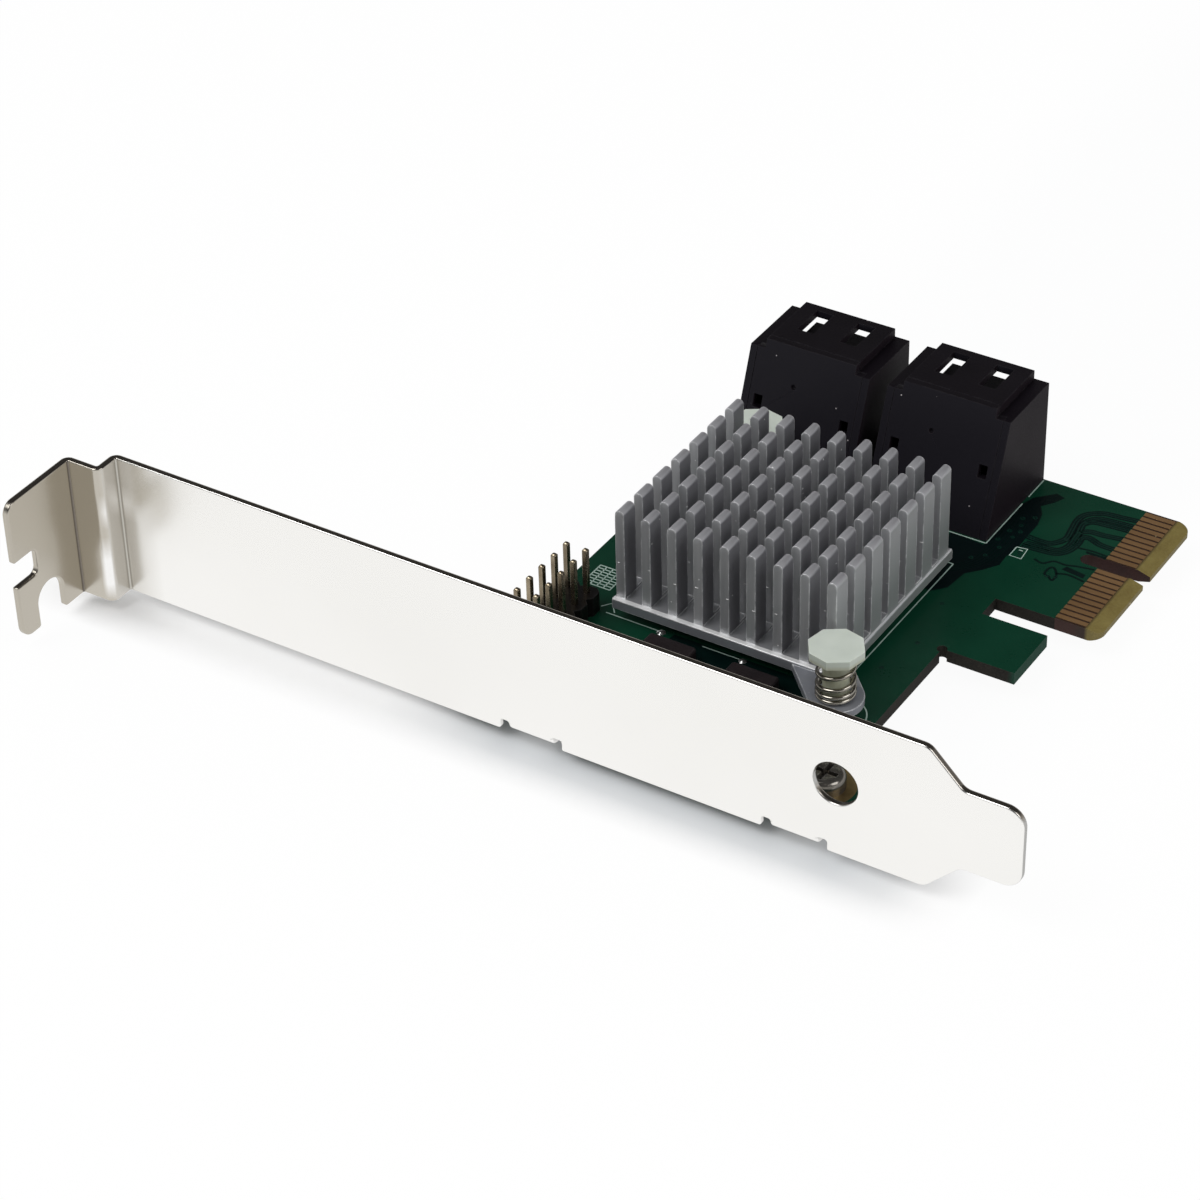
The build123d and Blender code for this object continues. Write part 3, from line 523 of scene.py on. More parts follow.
boardEdge = grainyMaterial("routedEdge", {
    "dark": (0.006, 0.005, 0.004), "light": (0.020, 0.017, 0.013), "cloudScale": 500.0, "grainScale": 4000.0,
    "rough": (0.6, 0.8), "bump": 0.5, "fineTint": (0.09, 0.08, 0.06), "fineShare": 0.14,
    "places": [{"along": [("Y", 11.6, 11.9)], "colour": (0.065, 0.095, 0.058)},
               # painted highlight: a green glow on the edge at the hook's end
               {"along": [("X", -5.8, -5.0), ("Y", -14.0, -15.0)], "colour": (0.008, 0.050, 0.030)}],
    "shader": {"Specular IOR Level": 0.3}, "wear": (0.12, 0.12, 0.10), "wearAndSheenRadius": 0.00012, "wearAndSheenStrength": 0.35,
    "speck": (0.42, 0.42, 0.36), "speckSpacing": 1100.0, "speckSize": 0.14, "speckShare": 0.14})
slotWall = grainyMaterial("slotWall", {
    "dark": (0.022, 0.007, 0.006), "light": (0.046, 0.014, 0.011), "cloudScale": 400.0, "grainScale": 4000.0,
    "rough": (0.5, 0.7), "bump": 0.4})
goldFinger = grainyMaterial("goldFinger", {
    "dark": (0.165, 0.090, 0.036), "light": (0.245, 0.138, 0.056), "cloudScale": 160.0, "grainScale": 3000.0,
    "stretch": (0.3, 1.0, 1.0), "rough": (0.34, 0.48), "bump": 0.1, "shader": {"Metallic": 0.3},
    "speck": (0.62, 0.52, 0.34), "speckSpacing": 900.0, "speckSize": 0.10, "speckShare": 0.04})
goldPin = grainyMaterial("goldPin", {
    "dark": (0.30, 0.24, 0.16), "light": (0.50, 0.42, 0.30), "cloudScale": 500.0, "grainScale": 3000.0,
    "rough": (0.2, 0.32), "bump": 0.05, "shader": {"Metallic": 1.0}, "wear": (0.85, 0.78, 0.62)})
nylon = grainyMaterial("whiteNylon", {
    "dark": (0.50, 0.545, 0.49), "light": (0.58, 0.625, 0.565), "cloudScale": 200.0, "grainScale": 2500.0,
    "rough": (0.36, 0.46), "bump": 0.08,
    "shader": {"Subsurface Weight": 0.25, "Subsurface Scale": 0.0008, "Subsurface Radius": (1.0, 1.0, 0.8)},
    # painted shade: the lower side of the head and the shank below it darker and yellower
    "places": [{"along": [("Z", 9.6, 9.1)], "colour": (0.44, 0.45, 0.34)}],
    "wear": (0.70, 0.73, 0.66), "wearAndSheenStrength": 0.5})
springSteel = grainyMaterial("springWire", {
    "dark": (0.36, 0.33, 0.28), "light": (0.56, 0.53, 0.47), "cloudScale": 600.0, "grainScale": 3000.0,
    "rough": (0.12, 0.2), "bump": 0.03, "shader": {"Metallic": 1.0}})
blackPlastic = grainyMaterial("blackPlastic", {
    "dark": (0.0036, 0.0022, 0.0040), "light": (0.0062, 0.0042, 0.0070), "cloudScale": 90.0, "grainScale": 3500.0,
    "rough": (0.42, 0.56), "bump": 0.25, "shader": {"Specular IOR Level": 0.13},
    # painted light: the front and +X faces are lighter than the tops
    "places": [{"facing": [("Y", -0.6, -0.85)], "colour": (0.0110, 0.0100, 0.0140)},
               {"facing": [("X", 0.6, 0.85)], "colour": (0.0125, 0.0085, 0.0122)}],
    "wear": (0.026, 0.024, 0.028), "wearAndSheenRadius": 0.0002, "wearAndSheenStrength": 0.6,
    "speck": (0.42, 0.39, 0.40), "speckSpacing": 900.0, "speckSize": 0.08, "speckShare": 0.12})
headerPlastic = grainyMaterial("headerPlastic", {
    "dark": (0.0042, 0.0032, 0.0032), "light": (0.0075, 0.006, 0.006), "cloudScale": 200.0, "grainScale": 3500.0,
    "rough": (0.34, 0.46), "bump": 0.25, "shader": {"Specular IOR Level": 0.2}, "wear": (0.03, 0.03, 0.03)})
ferrite = grainyMaterial("ferriteBody", {
    "dark": (0.009, 0.005, 0.006), "light": (0.016, 0.010, 0.011), "cloudScale": 400.0, "grainScale": 3500.0,
    "rough": (0.5, 0.65), "bump": 0.5, "shader": {"Specular IOR Level": 0.35}, "wear": (0.04, 0.035, 0.035)})
tinned = grainyMaterial("tinnedMetal", {
    "dark": (0.55, 0.55, 0.54), "light": (0.72, 0.72, 0.71), "cloudScale": 700.0, "grainScale": 3500.0,
    "rough": (0.22, 0.36), "bump": 0.2, "shader": {"Metallic": 1.0}})
solder = grainyMaterial("solderJoint", {
    "dark": (0.58, 0.58, 0.57), "light": (0.76, 0.76, 0.75), "cloudScale": 900.0, "grainScale": 4500.0,
    "rough": (0.16, 0.3), "bump": 0.25, "shader": {"Metallic": 0.9}})
chipResin = grainyMaterial("chipResin", {
    "dark": (0.012, 0.012, 0.013), "light": (0.020, 0.020, 0.022), "cloudScale": 300.0, "grainScale": 4500.0,
    "rough": (0.5, 0.62), "bump": 0.5, "wear": (0.05, 0.05, 0.052)})
padGrey = grainyMaterial("thermalPad", {
    "dark": (0.30, 0.31, 0.33), "light": (0.40, 0.41, 0.43), "cloudScale": 500.0, "grainScale": 3500.0,
    "rough": (0.7, 0.85), "bump": 0.4})
canMetal = grainyMaterial("crystalCan", {
    "dark": (0.60, 0.59, 0.56), "light": (0.74, 0.73, 0.70), "cloudScale": 300.0, "grainScale": 3000.0,
    "rough": (0.24, 0.36), "bump": 0.1, "shader": {"Metallic": 1.0}, "wear": (0.85, 0.84, 0.82)})
ceramic = grainyMaterial("ceramicBody", {
    "dark": (0.26, 0.17, 0.10), "light": (0.34, 0.23, 0.14), "cloudScale": 700.0, "grainScale": 4500.0,
    "rough": (0.5, 0.6), "bump": 0.3})
ink = grainyMaterial("printedInk", {
    "dark": (0.30, 0.42, 0.37), "light": (0.44, 0.56, 0.50), "cloudScale": 900.0, "grainScale": 4500.0,
    "rough": (0.55, 0.7), "bump": 0.2, "shader": {"Specular IOR Level": 0.35}})
padCopper = grainyMaterial("barePad", {
    "dark": (0.17, 0.115, 0.045), "light": (0.30, 0.22, 0.10), "cloudScale": 500.0, "grainScale": 3500.0,
    "rough": (0.3, 0.45), "bump": 0.2, "shader": {"Metallic": 0.7}})
print("finishes made")

boardLook = {"top": 0.785, "bottom": -0.785, "rounding": 0.03, "maskEnd": -5.65, "noseStart": -1.6,
             "tongueHalf": 12.2, "keyHalf": 0.97, "keyEnd": -8.5, "flatness": 0.8}


def cutCoat(mesh):  # one cut across the tongue, where the green coat ends
    geometry = list(mesh.verts) + list(mesh.edges) + list(mesh.faces)
    bmesh.ops.bisect_plane(mesh, geom=geometry, plane_co=(boardLook["maskEnd"] * mm, 0, 0), plane_no=(1, 0, 0),
                           dist=1e-7)


board = refinedCopy("circuit_board", "boardPanel", boardLook["rounding"], 1, edit=cutCoat, limit=60.0)
coats = [solderMask, boardEdge, laminate, slotWall]
for coat in coats:
    board.data.materials.append(coat)
for polygon in board.data.polygons:
    place = polygon.center / mm
    flat = abs(polygon.normal.z) > boardLook["flatness"]
    onTongue = place.x > boardLook["maskEnd"] and abs(place.y) < boardLook["tongueHalf"]
    if onTongue and (flat or abs(place.y) > boardLook["keyHalf"] or place.x > boardLook["noseStart"]):
        coat = laminate
    elif flat:
        coat = solderMask
    elif abs(place.y) < boardLook["keyHalf"] and place.x > boardLook["keyEnd"]:
        coat = slotWall
    else:
        coat = boardEdge
    polygon.material_index = coats.index(coat)
mount(board, "green_board", "circuit_board")
print("board panel done")

topZ = boardLook["top"]
bottomZ = boardLook["bottom"]
artwork = {"channelWidth": 0.95, "thinWidth": 0.30, "channelHeight": 0.012, "fieldHeight": 0.004, "shadeHeight": 0.0045,
           "traceWidth": 0.15, "traceHeight": 0.020, "traceShift": 0.17, "underWidth": 0.22,
           "inkWidth": 0.15, "inkHeight": 0.03}
channelPaths = [
    [(-5.7, 9.8), (-7.9, 9.5), (-9.9, 9.2), (-11.5, 8.0), (-11.9, 6.5), (-11.6, 4.3), (-11.4, 2.4), (-12.4, 0.8),
     (-13.8, 0.5), (-15.5, 0.6)],
    [(-5.7, 8.5), (-8.2, 8.3), (-9.8, 8.0), (-10.7, 7.1), (-11.0, 5.9), (-10.7, 4.2), (-10.6, 2.6)],
    [(-5.8, 7.5), (-8.2, 7.3), (-10.2, 7.0), (-10.9, 6.2)],
    [(-5.7, 5.6), (-8.0, 5.2), (-9.5, 5.1), (-10.5, 4.4), (-10.5, 3.0), (-10.5, 1.2), (-11.2, -0.1), (-12.8, -0.4),
     (-15.1, -0.6)],
    [(-5.7, 3.2), (-7.5, 3.3), (-9.2, 3.9), (-9.9, 3.4), (-9.8, 2.1), (-10.1, 0.4), (-11.1, -0.8), (-12.8, -1.1),
     (-15.3, -1.3)],
]
thinPaths = [
    [(-12.8, -3.0), (-11.6, -3.3), (-10.6, -2.3), (-9.2, -2.3), (-7.9, -1.9), (-5.9, -1.5)],
    [(-10.0, -5.1), (-9.2, -5.8), (-9.2, -4.6), (-10.0, -3.5), (-10.5, -3.8), (-10.5, -5.0), (-10.0, -5.2)],
    [(-9.4, -4.4), (-8.1, -3.9), (-5.9, -4.2)],
    [(-5.7, 1.6), (-7.6, 1.7), (-9.4, 1.5)],
]
darkField = [(-23.5, -3.0), (-19.1, -3.4), (-19.1, 6.0), (-18.4, 8.1), (-17.2, 9.3), (-16.9, 6.9), (-16.0, 5.5),
             (-15.5, 3.3), (-15.5, 0.5), (-15.4, -2.3), (-15.8, -4.2), (-15.7, -6.1), (-17.0, -8.0), (-18.4, -9.6),
             (-18.8, -13.0), (-20.2, -14.6), (-24.4, -14.0)]
shadePatches = [
    # the first patch is a painted shadow before the heatsink's front edge
    [(-41.6, -39.6), (-21.0, -39.6), (-21.0, -36.4), (-41.0, -36.4)],
    [(-9.2, -3.3), (-8.9, -2.5), (-6.3, -2.9), (-6.3, -3.7)],
    [(-8.3, 1.4), (-8.2, 0.98), (-5.7, 0.98), (-5.7, 1.4)],
    [(-17.2, 9.3), (-16.4, 10.2), (-15.2, 9.8), (-15.8, 8.4), (-16.9, 6.9)],
]


def raisedPatch(name, outline, height, finish):  # a thin coat inside an outline on the board's top
    count = len(outline)
    vertices = [(x, y, z) for z in (topZ, topZ + height) for x, y in outline]
    faces = [tuple(range(count, 2 * count)), tuple(reversed(range(count)))]
    faces += [(i, (i + 1) % count, (i + 1) % count + count, i + count) for i in range(count)]
    return facesOut(meshObject(name, vertices, faces, materials=[finish]))


def atHeight(paths, z):
    return [[(x, y, z) for x, y in path] for path in paths]


def beside(path, distance):  # the same path moved sideways
    moved = []
    for i, (x, y) in enumerate(path):
        ahead, behind = path[min(i + 1, len(path) - 1)], path[max(i - 1, 0)]
        run = Vector((ahead[0] - behind[0], ahead[1] - behind[1])).normalized()
        moved.append((x - run.y * distance, y + run.x * distance))
    return moved

def fan(count, stops):  # paths side by side; each stop is a place and its step to the next path
    return [[(x + stepX * i, y + stepY * i) for x, y, stepX, stepY in stops] for i in range(count)]


channels = joined("clearanceChannels", [
    bands("channelBands", atHeight(channelPaths, topZ), artwork["channelWidth"], artwork["channelHeight"], channelMask),
    bands("thinBands", atHeight(thinPaths, topZ), artwork["thinWidth"], artwork["channelHeight"], channelMask),
    raisedPatch("channelField", darkField, artwork["fieldHeight"], deepMask)]
    + [raisedPatch("shadePatch" + str(i), outline, artwork["shadeHeight"], channelMask)
       for i, outline in enumerate(shadePatches)])
mount(channels, "green_board")

tracePaths = [beside(path, side * artwork["traceShift"]) for path in channelPaths for side in (1, -1)]
fieldPaths = fan(5, [(-19.0, 5.4, 0.55, -0.6), (-18.6, 1.5, 0.5, 0), (-18.4, -3.4, 0.45, 0), (-19.4, -7.6, 0.4, 0),
                     (-22.6, -10.2, 0, -0.5)])
underPaths = fan(6, [(-49.0, -0.2, 1.27, 0), (-48.4, -5.0, 1.27, 0), (-38.6, -13.0, 0.5, 0.5), (-37.2, -19.0, 0.5, 0)])
underPaths += fan(6, [(-30.6, -0.2, 1.27, 0), (-30.2, -5.2, 1.1, 0), (-30.6, -12.0, 0.5, 0), (-31.4, -19.0, 0.5, 0)])
underPaths += fan(9, [(-5.8, 10.5, 0, -1.0), (-9.0, 10.3, 0, -1.0), (-12.4, 6.5, 0, -0.8), (-22.0, -6.0, 0, -0.6),
                      (-27.5, -12.0, 0, -0.6)])
underPaths += fan(4, [(-54.5, -39.0, 0, -2.0), (-50.0, -36.5, 0, -1.6), (-43.0, -33.0, 0, -1.0),
                      (-39.0, -29.6, 0, -0.5)])
traces = joined("coveredTraces", [
    bands("traceTop", atHeight(tracePaths, topZ), artwork["traceWidth"], artwork["traceHeight"], traceMask),
    bands("traceField", atHeight(fieldPaths, topZ), artwork["traceWidth"], artwork["traceHeight"], channelMask),
    bands("traceUnder", atHeight(underPaths, bottomZ), artwork["underWidth"], artwork["traceHeight"], traceMask, 4)])
mount(traces, "green_board")
print("traces done")

inkLines = [
    [(-49.9, -36.7), (-42.6, -36.7)], [(-37.2, -36.7), (-32.0, -36.7)], [(-20.35, -36.7), (-20.35, -8.6)],
    [(-20.35, -8.6), (-22.4, -8.6)], [(-24.2, -3.05), (-19.0, -3.05)], [(-19.0, -3.05), (-19.0, 6.3)],
    [(-19.0, 7.9), (-19.0, 11.9)], [(-15.6, -1.9), (-14.3, -1.7), (-14.1, -3.8), (-15.6, -3.8), (-15.6, -1.9)],
    [(-51.0, -36.0), (-50.2, -34.9), (-49.0, -36.3)], [(-35.6, -46.2), (-34.6, -46.2), (-34.6, -47.4)],
    [(-26.2, -46.0), (-25.0, -46.0), (-25.0, -47.0)], [(-15.1, -2.3), (-14.6, -2.3)],
]
hatch = {"left": -55.3, "right": -51.8, "front": -32.9, "back": -29.2, "rows": 8, "columns": 5}
for i in range(hatch["rows"]):
    y = hatch["front"] + (hatch["back"] - hatch["front"]) * i / (hatch["rows"] - 1)
    inkLines.append([(hatch["left"], y), (hatch["right"], y)])
for i in range(hatch["columns"]):
    x = hatch["left"] + (hatch["right"] - hatch["left"]) * i / (hatch["columns"] - 1)
    inkLines.append([(x, hatch["front"]), (x, hatch["back"])])
pinRing = {"x": -18.4, "y": -40.0, "radius": 3.45}
inkRing = [[(pinRing["x"] + pinRing["radius"] * math.cos(a * math.pi / 24),
             pinRing["y"] + pinRing["radius"] * math.sin(a * math.pi / 24)) for a in range(49)]]
underInk = [[(-54.0, -3.2), (-37.1, -3.2)], [(-37.1, -3.2), (-37.1, 11.6)], [(-54.0, 11.6), (-54.0, -3.2)],
            [(-35.6, -3.2), (-18.7, -3.2)], [(-18.7, -3.2), (-18.7, 11.6)], [(-35.6, 11.6), (-35.6, -3.2)],
            [(-56.1, -48.9), (-50.4, -48.9), (-50.4, -36.1), (-56.1, -36.1), (-56.1, -48.9)]]
printed = joined("printedLines", [
    bands(name, atHeight(paths, z), artwork["inkWidth"], artwork["inkHeight"], ink, steps)
    for name, paths, z, steps in (("inkStraight", inkLines, topZ, 1), ("inkRound", inkRing, topZ, 2),
                                  ("inkUnder", underInk, bottomZ, 1))])
mount(printed, "green_board")
print("ink done")

holeLook = {"ring": 0.30, "hole": 0.15, "bottom": 0.12, "thickness": 0.012, "sides": 10, "spread": 0.1}
viaForm = turnedForm("viaForm", [
    (holeLook["ring"], -0.004), (holeLook["ring"], holeLook["thickness"]), (holeLook["hole"], holeLook["thickness"]),
    (holeLook["bottom"], 0.002)], holeLook["sides"])
viaPoints = [
    (-17.6, 3.6), (-17.1, 2.2), (-17.8, 0.6), (-16.9, -0.4), (-18.2, -1.6), (-17.3, -3.0), (-18.0, -5.2),
    (-19.2, -6.4), (-16.4, 4.4), (-16.6, 1.0), (-14.9, -2.6), (-14.6, -3.1), (-14.8, 0.55), (-15.0, -0.6),
    (-11.3, 2.3), (-10.1, -5.3), (-9.1, -5.0), (-20.6, -45.2), (-26.0, -52.4), (-39.8, -53.0), (-44.8, -47.5),
    (-48.6, -50.0), (-54.2, -20.0), (-54.8, -14.5), (-53.0, -9.0), (-54.6, -25.5), (-18.1, -30.0), (-16.8, -24.0),
    (-17.9, -16.0)
]
viaUnder = [(-40.5 + 1.55 * (i % 9), -30.0 + 1.6 * (i // 9)) for i in range(81) if (i * 7) % 5] + viaPoints
vias = studs("viasTop", [(x, y, topZ) for x, y in viaPoints], viaForm, traceMask, holeLook["spread"])
scaledForm(viaForm, 1, 1, -1)
viasBelow = studs("viasBelow", [(x, y, bottomZ) for x, y in viaUnder], viaForm, traceMask, holeLook["spread"])
bpy.data.objects.remove(viaForm)
mount(joined("viaDots", [vias, viasBelow]), "green_board")

jointLook = {"profile": [(0.80, 0.003), (0.744, -0.10), (0.58, -0.32), (0.42, -0.62), (0.30, -0.85)], "sides": 14,
             "portScale": 0.66, "coilHeight": -0.24, "spread": 0.06, "coilSpread": 0.1, "turn": 6.0}
jointForm = turnedForm("jointForm", jointLook["profile"], jointLook["sides"])
pegSolder = [(x, y, bottomZ) for x in (-54.5, -51.96) for y in (-47.58, -45.04, -42.5, -39.96, -37.42)]
headerJoints = studs("headerJoints", pegSolder, jointForm, solder, jointLook["spread"], jointLook["turn"], 3)
scaledForm(jointForm, jointLook["portScale"], jointLook["portScale"], 1)
portSolder = [(blockX + 1.27 * (i - 3), y, bottomZ) for blockX in (-45.55, -27.15) for i in range(7)
              for y in (0.155, 2.545)]
portJoints = studs("portJoints", portSolder, jointForm, solder, jointLook["spread"], jointLook["turn"], 5)
scaledForm(jointForm, 1, 1, jointLook["coilHeight"])
coilSolder = [(x, -36.8, topZ) for x in (-42.5, -31.9)]
coilJoints = studs("coilJoints", coilSolder, jointForm, solder, jointLook["coilSpread"], jointLook["turn"], 7)
bpy.data.objects.remove(jointForm)
mount(joined("solderJoints", [headerJoints, portJoints, coilJoints]), "tinned_metal")

padLook = {"radius": 3.5, "hole": 1.6, "bottom": -0.004, "top": 0.015, "sides": 40}
ringForm = turnedForm("ringForm", [(padLook[edge], padLook[level]) for edge, level in (
    ("radius", "bottom"), ("radius", "top"), ("hole", "top"), ("hole", "bottom"))], padLook["sides"])
tabPads = studs("tabPads", [(-46.4, -51.21, topZ), (-13.4, -51.21, topZ)], ringForm, padCopper)
bpy.data.objects.remove(ringForm)
mount(tabPads, "gold_contacts")
print("pads, vias and solder done")

metalLook = {"fingerRounding": 0.012, "bracketRounding": 0.22, "bracketSegments": 4, "bracketLimit": 45.0,
             "screwRounding": 0.06}
for side in ("front", "back"):
    dressed("edge_contacts_" + side, "goldFingers" + side.capitalize(), goldFinger, "gold_contacts",
            metalLook["fingerRounding"], 1)
dressed("bracket", "slotBracket", nickel, "plated_steel", metalLook["bracketRounding"], metalLook["bracketSegments"],
        limit=metalLook["bracketLimit"], clamp=False)
dressed("bracket_screws", "bracketScrews", screwSteel, "screw_steel", metalLook["screwRounding"])
print("bracket done")

finLook = {"columns": 9, "rows": 7, "pitchX": 3.37, "pitchY": 4.0, "depth": 3.0, "slimmer": 0.28,
           "x": -34.2, "y": -23.7, "low": 3.7, "ledge": 3.785, "frontEdge": -37.6, "sideEdge": -19.9,
           "rim": 0.24, "rimSegments": 3, "rounding": 0.06, "burrZ": 8.6, "burrWander": 0.35, "burrSpread": 0.45}


def slimFins(mesh):  # wider saw gaps, and rounded rims on the base's ledge
    for vertex in mesh.verts:
        place = vertex.co / mm
        row = round((place.y - finLook["y"]) / finLook["pitchY"])
        offset = place.y - finLook["y"] - row * finLook["pitchY"]
        if place.z > finLook["low"] and abs(abs(offset) - finLook["depth"] / 2) < 0.1:
            vertex.co.y -= math.copysign(finLook["slimmer"], offset) * mm
    rims = []
    for edge in mesh.edges:
        ends = [vertex.co / mm for vertex in edge.verts]
        if all(abs(end.z - finLook["ledge"]) < 0.01 for end in ends) and edge.calc_length() > mm and (
                all(abs(end.y - finLook["frontEdge"]) < 0.02 for end in ends)
                or all(abs(end.x - finLook["sideEdge"]) < 0.02 for end in ends)):
            rims.append(edge)
    bmesh.ops.bevel(mesh, geom=rims, offset=finLook["rim"] * mm, offset_type="OFFSET", segments=finLook["rimSegments"],
                    profile=0.5, affect="EDGES")


dressed("heatsink", "finnedHeatsink", aluminium, "raw_aluminium", finLook["rounding"], edit=slimFins, merge=False,
        clamp=False)
burrForm = facesOut(meshObject("burrForm", [
    (-0.16, 0.0, -0.03), (0.14, 0.0, -0.02), (0.16, 0.0, 0.03), (-0.12, 0.0, 0.04), (-0.10, -0.035, 0.0),
    (0.10, -0.03, 0.01)], [(0, 1, 5, 4), (1, 2, 5), (2, 3, 4, 5), (3, 0, 4), (0, 3, 2, 1)]))
frontY = finLook["y"] - finLook["pitchY"] * (finLook["rows"] - 1) / 2 - finLook["depth"] / 2 + finLook["slimmer"]
burrPoints = []
for row in range(finLook["rows"]):
    for column in range(finLook["columns"]):
        lift = finLook["burrWander"] * math.sin(column * 2.3 + row * 1.7)
        finX = finLook["x"] + finLook["pitchX"] * (column - (finLook["columns"] - 1) / 2)
        side = 0.38 if (column + row) % 3 else -0.2
        burrPoints.append((finX + side, frontY + row * finLook["pitchY"], finLook["burrZ"] + lift))
burrs = studs("sawBurrs", burrPoints, burrForm, burrMetal, finLook["burrSpread"], seed=11)
bpy.data.objects.remove(burrForm)
mount(burrs, "raw_aluminium")
print("heatsink done")

portLook = {"tongueBottoms": (3.935, 10.835), "lift": 1.15, "leg": 1.15, "thickness": 1.3, "slots": 4.1, "half": 5.35,
            "middles": (-45.55, -27.15), "blade": 0.27, "shortened": 0.85, "rounding": 0.1, "coverRounding": 0.07}


def liftTongues(mesh):  # the tongues in the ports sit a little higher, as the light through the windows shows
    for vertex in mesh.verts:
        place = vertex.co / mm
        offset = min((place.x - middle for middle in portLook["middles"]), key=abs)
        if place.y < portLook["slots"] or abs(offset) > portLook["half"]:
            continue
        if any(bottom - portLook["leg"] < place.z < bottom + portLook["thickness"]
               for bottom in portLook["tongueBottoms"]):
            vertex.co.z += portLook["lift"] * mm
            if offset < -portLook["half"] + 0.1:
                vertex.co.x += portLook["shortened"] * mm


def liftBlades(mesh):  # their contacts go with them
    for vertex in mesh.verts:
        height = vertex.co.z / mm
        if any(bottom - portLook["blade"] < height < bottom + 0.02 for bottom in portLook["tongueBottoms"]):
            vertex.co.z += portLook["lift"] * mm


for nodeName, finish, slotName, rounding in (
        ("controller_chip", chipResin, "chip_resin", 0.08), ("thermal_pad", padGrey, "thermal_pad", 0.05),
        ("flash_chip", chipResin, "chip_resin", 0.08), ("crystal", canMetal, "crystal_can", 0.15),
        ("power_inductors", ferrite, "ferrite", 0.2), ("inductor_terminals", tinned, "tinned_metal", 0.04),
        ("flash_chip_leads", tinned, "tinned_metal", 0.03), ("ceramic_capacitors", ceramic, "capacitor_ceramic", 0.04),
        ("capacitor_ends", tinned, "tinned_metal", 0.06), ("header_base", headerPlastic, "header_plastic", 0.08),
        ("header_pins", goldPin, "gold_contacts", 0.08), ("sata_contacts_left", goldPin, "gold_contacts", 0.0),
        ("sata_contacts_right", goldPin, "gold_contacts", 0.0)):
    words = nodeName.split("_")
    change = liftBlades if words[0] == "sata" else None
    name = words[0] + "".join(word.capitalize() for word in words[1:])
    dressed(nodeName, name, finish, slotName, rounding, edit=change)
print("small parts done")

coil = {"wire": 0.25, "mean": 2.05, "turns": 4.5, "closedPitch": 0.55, "perTurn": 24, "low": 3.485, "high": 9.055,
        "pinRounding": 0.12, "pinSegments": 3}
for end in ("front", "rear"):
    dressed("push_pin_" + end, "pushPin" + end.capitalize(), nylon, "white_nylon", coil["pinRounding"],
            coil["pinSegments"])
    low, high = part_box("push_pin_spring_" + end)
    centre = ((low.x + high.x) / 2 / mm, (low.y + high.y) / 2 / mm)
    startZ, endZ = coil["low"] + coil["wire"], coil["high"] - coil["wire"]
    opening = endZ - startZ - coil["closedPitch"] * coil["turns"]
    path = []
    for i in range(int(coil["turns"] * coil["perTurn"]) + 1):
        turn = i / coil["perTurn"]
        share = turn / coil["turns"]
        angle = 2 * math.pi * turn + math.pi
        path.append((centre[0] + coil["mean"] * math.cos(angle), centre[1] + coil["mean"] * math.sin(angle),
                     startZ + coil["closedPitch"] * turn + opening * share ** 4 * (5 - 4 * share)))
    spring = runTree(chains("springPath", [path]), wireTree, {
        "Radius": coil["wire"] * mm, "Smooth Steps": 2, "Finish": springSteel}, "spring" + end.capitalize())
    smoothShade(spring, 60.0)
    mount(spring, "spring_wire", "push_pin_spring_" + end)
print("push pins done")

for side in ("left", "right"):
    dressed("sata_housing_" + side, "portHousing" + side.capitalize(), blackPlastic, "black_plastic",
            portLook["rounding"], edit=liftTongues, merge=False)
    dressed("sata_rear_cover_" + side, "portCover" + side.capitalize(), blackPlastic, "black_plastic",
            portLook["coverRounding"])
print("connector blocks done")

studio = {"floorSize": 6.0, "floorGap": 0.02, "floorColour": (0.94, 0.94, 0.94), "paintedShadowColour": (0.70, 0.72, 0.74),
          "strip": (("X", -66.0, -50.0), ("X", 4.0, -8.0), ("Y", -66.0, -58.5)),
          "near": (("X", -116.0, -106.0), ("X", 7.0, -2.0), ("Y", -64.5, -60.0), ("Y", -47.0, -55.0)),
          "whiteFar": 0.95, "whiteNear": 0.0, "front": ("Y", -53.0, -57.5), "glossFront": 0.985, "glossBehind": 0.45,
          "worldLevel": 0.60, "wallLevel": 0.75, "ceilingLevel": 0.035, "ceilingFrom": 0.10, "ceilingTo": 0.42}
floorZ = cadBox[0].z - studio["floorGap"] * mm
half = studio["floorSize"] / 2
floorMesh = bpy.data.meshes.new("studioFloor")
floorMesh.from_pydata([(-half, -half, floorZ), (half, -half, floorZ), (half, half, floorZ), (-half, half, floorZ)], [],
                      [(0, 1, 2, 3)])
floor = link(bpy.data.objects.new("studioFloor", floorMesh))
floorPaint, tree, shader = startMaterial("floorPaper", {"Roughness": 0.9, "Specular IOR Level": 0.1})
strip = placeMask(tree, studio["strip"])  # painted shadow: a darker floor colour in the narrow strip before the bracket
tree.links.new(mixColours(tree, strip, studio["floorColour"], studio["paintedShadowColour"]), shader.inputs["Base Color"])
near = placeMask(tree, studio["near"])  # round the object the floor keeps its shadow, farther out it is white paper
white = mapRange(tree, near, 0.0, 1.0, studio["whiteFar"], studio["whiteNear"])
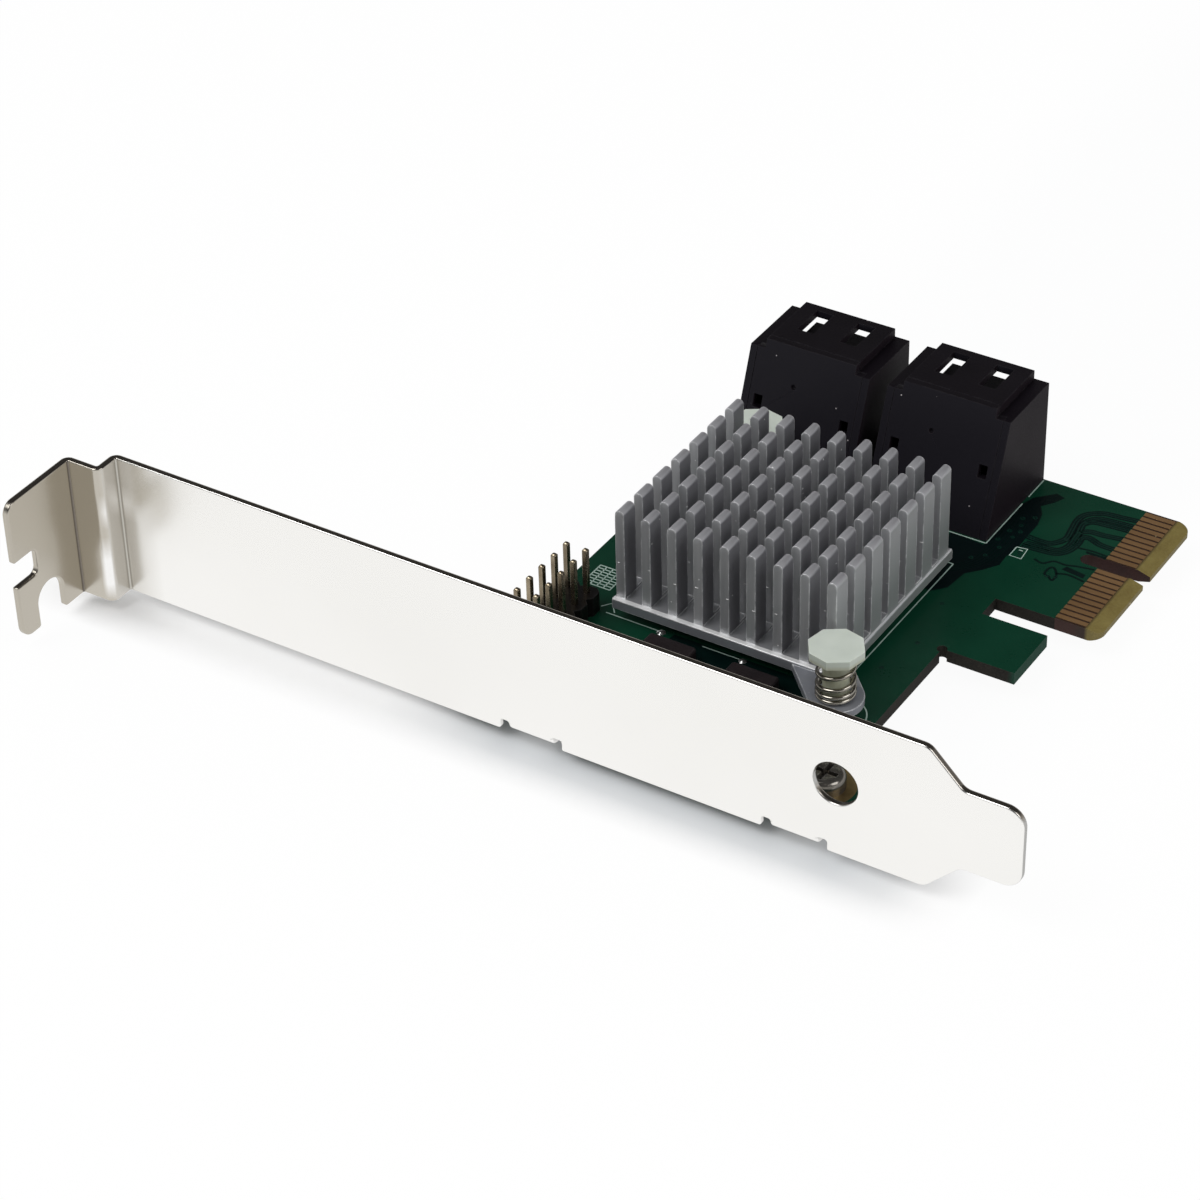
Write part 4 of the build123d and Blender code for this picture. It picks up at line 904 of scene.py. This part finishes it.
# for reflected rays the floor glows bright in front and dimmer behind; the dimmer level under the board is painted
# shade
mirrorLevel = mapRange(tree, alongAxis(tree, *studio["front"]), 0.0, 1.0, studio["glossBehind"], studio["glossFront"])
rays = addNode(tree, "ShaderNodeLightPath")
shown = setInputs(addNode(tree, "ShaderNodeEmission"), {"Color": (1, 1, 1, 1), "Strength": 1.0})
mirrored = setInputs(addNode(tree, "ShaderNodeEmission"), {"Color": (1, 1, 1, 1)})
tree.links.new(mirrorLevel, mirrored.inputs["Strength"])
forCamera = addNode(tree, "ShaderNodeMixShader")
forGloss = addNode(tree, "ShaderNodeMixShader")
tree.links.new(mathNode(tree, "MULTIPLY", rays.outputs["Is Camera Ray"], white), forCamera.inputs[0])
linkAll(tree, [(shader, 0, forCamera, 1), (shown, 0, forCamera, 2), (rays, "Is Glossy Ray", forGloss, 0),
               (forCamera, 0, forGloss, 1), (mirrored, 0, forGloss, 2),
               (forGloss, 0, tree.nodes["Material Output"], "Surface")])
floorMesh.materials.append(floorPaint)

world = bpy.data.worlds.new("studioWorld")
bpy.context.scene.world = world
world.use_nodes = True
sky = world.node_tree
backdrop = setInputs(sky.nodes["Background"], {"Color": (1.0, 1.0, 1.0, 1)})
rays = addNode(sky, "ShaderNodeLightPath")
direction = addNode(sky, "ShaderNodeTexCoord")
parts = addNode(sky, "ShaderNodeSeparateXYZ")
sky.links.new(direction.outputs["Generated"], parts.inputs[0])
glossLevel = mapRange(sky, parts.outputs["Z"], studio["ceilingFrom"], studio["ceilingTo"], studio["wallLevel"],
                      studio["ceilingLevel"])
darker = mathNode(sky, "SUBTRACT", glossLevel, studio["worldLevel"])
level = mathNode(sky, "ADD", mathNode(sky, "MULTIPLY", darker, rays.outputs["Is Glossy Ray"]), studio["worldLevel"])
seen = mathNode(sky, "MULTIPLY", rays.outputs["Is Camera Ray"], 1.0 - studio["worldLevel"])
sky.links.new(mathNode(sky, "ADD", level, seen), backdrop.inputs["Strength"])

lamps = {"aim": (-0.040, -0.030, 0.005), "keyPlace": (-0.35, -0.45, 0.75), "keySize": 0.55, "keyPower": 3.2,
         "sidePlace": (0.55, -0.05, 0.5), "sideSize": 0.45, "sidePower": 1.2}
for side in ("key", "side"):
    lamp = bpy.data.lights.new(side + "Lamp", "AREA")
    lamp.shape = "DISK"
    lamp.size = lamps[side + "Size"]
    lamp.energy = lamps[side + "Power"]
    softbox = link(bpy.data.objects.new(side + "Lamp", lamp))
    softbox.location = lamps[side + "Place"]
    softbox.rotation_mode = "QUATERNION"
    softbox.rotation_quaternion = (Vector(lamps["aim"]) - Vector(lamps[side + "Place"])).to_track_quat("-Z", "Y")

view = {"azimuth": 32.98, "elevation": 36.17, "roll": -1.59, "distance": 0.38433,
        "target": (-0.0369, -0.05791, 0.020715), "focalPixels": 3671.5, "framePixels": 1200, "sensor": 36.0}
az, el, roll = (math.radians(view[key]) for key in ("azimuth", "elevation", "roll"))
forward = Vector((-math.sin(az) * math.cos(el), math.cos(az) * math.cos(el), -math.sin(el)))
right = forward.cross(Vector((0, 0, 1))).normalized()
up = right.cross(forward)
turnedRight = right * math.cos(roll) + up * math.sin(roll)
turnedUp = up * math.cos(roll) - right * math.sin(roll)
lens = bpy.data.cameras.new("photoCamera")
lens.sensor_width = view["sensor"]
lens.lens = view["focalPixels"] / view["framePixels"] * view["sensor"]
lens.clip_start, lens.clip_end = 0.01, 20.0
camera = link(bpy.data.objects.new("photoCamera", lens))
axes = Matrix((turnedRight, turnedUp, -forward)).transposed()
camera.matrix_world = Matrix.Translation(Vector(view["target"]) - forward * view["distance"]) @ axes.to_4x4()
bpy.context.scene.camera = camera
bpy.context.scene.view_settings.view_transform = "Standard"
print("studio done")
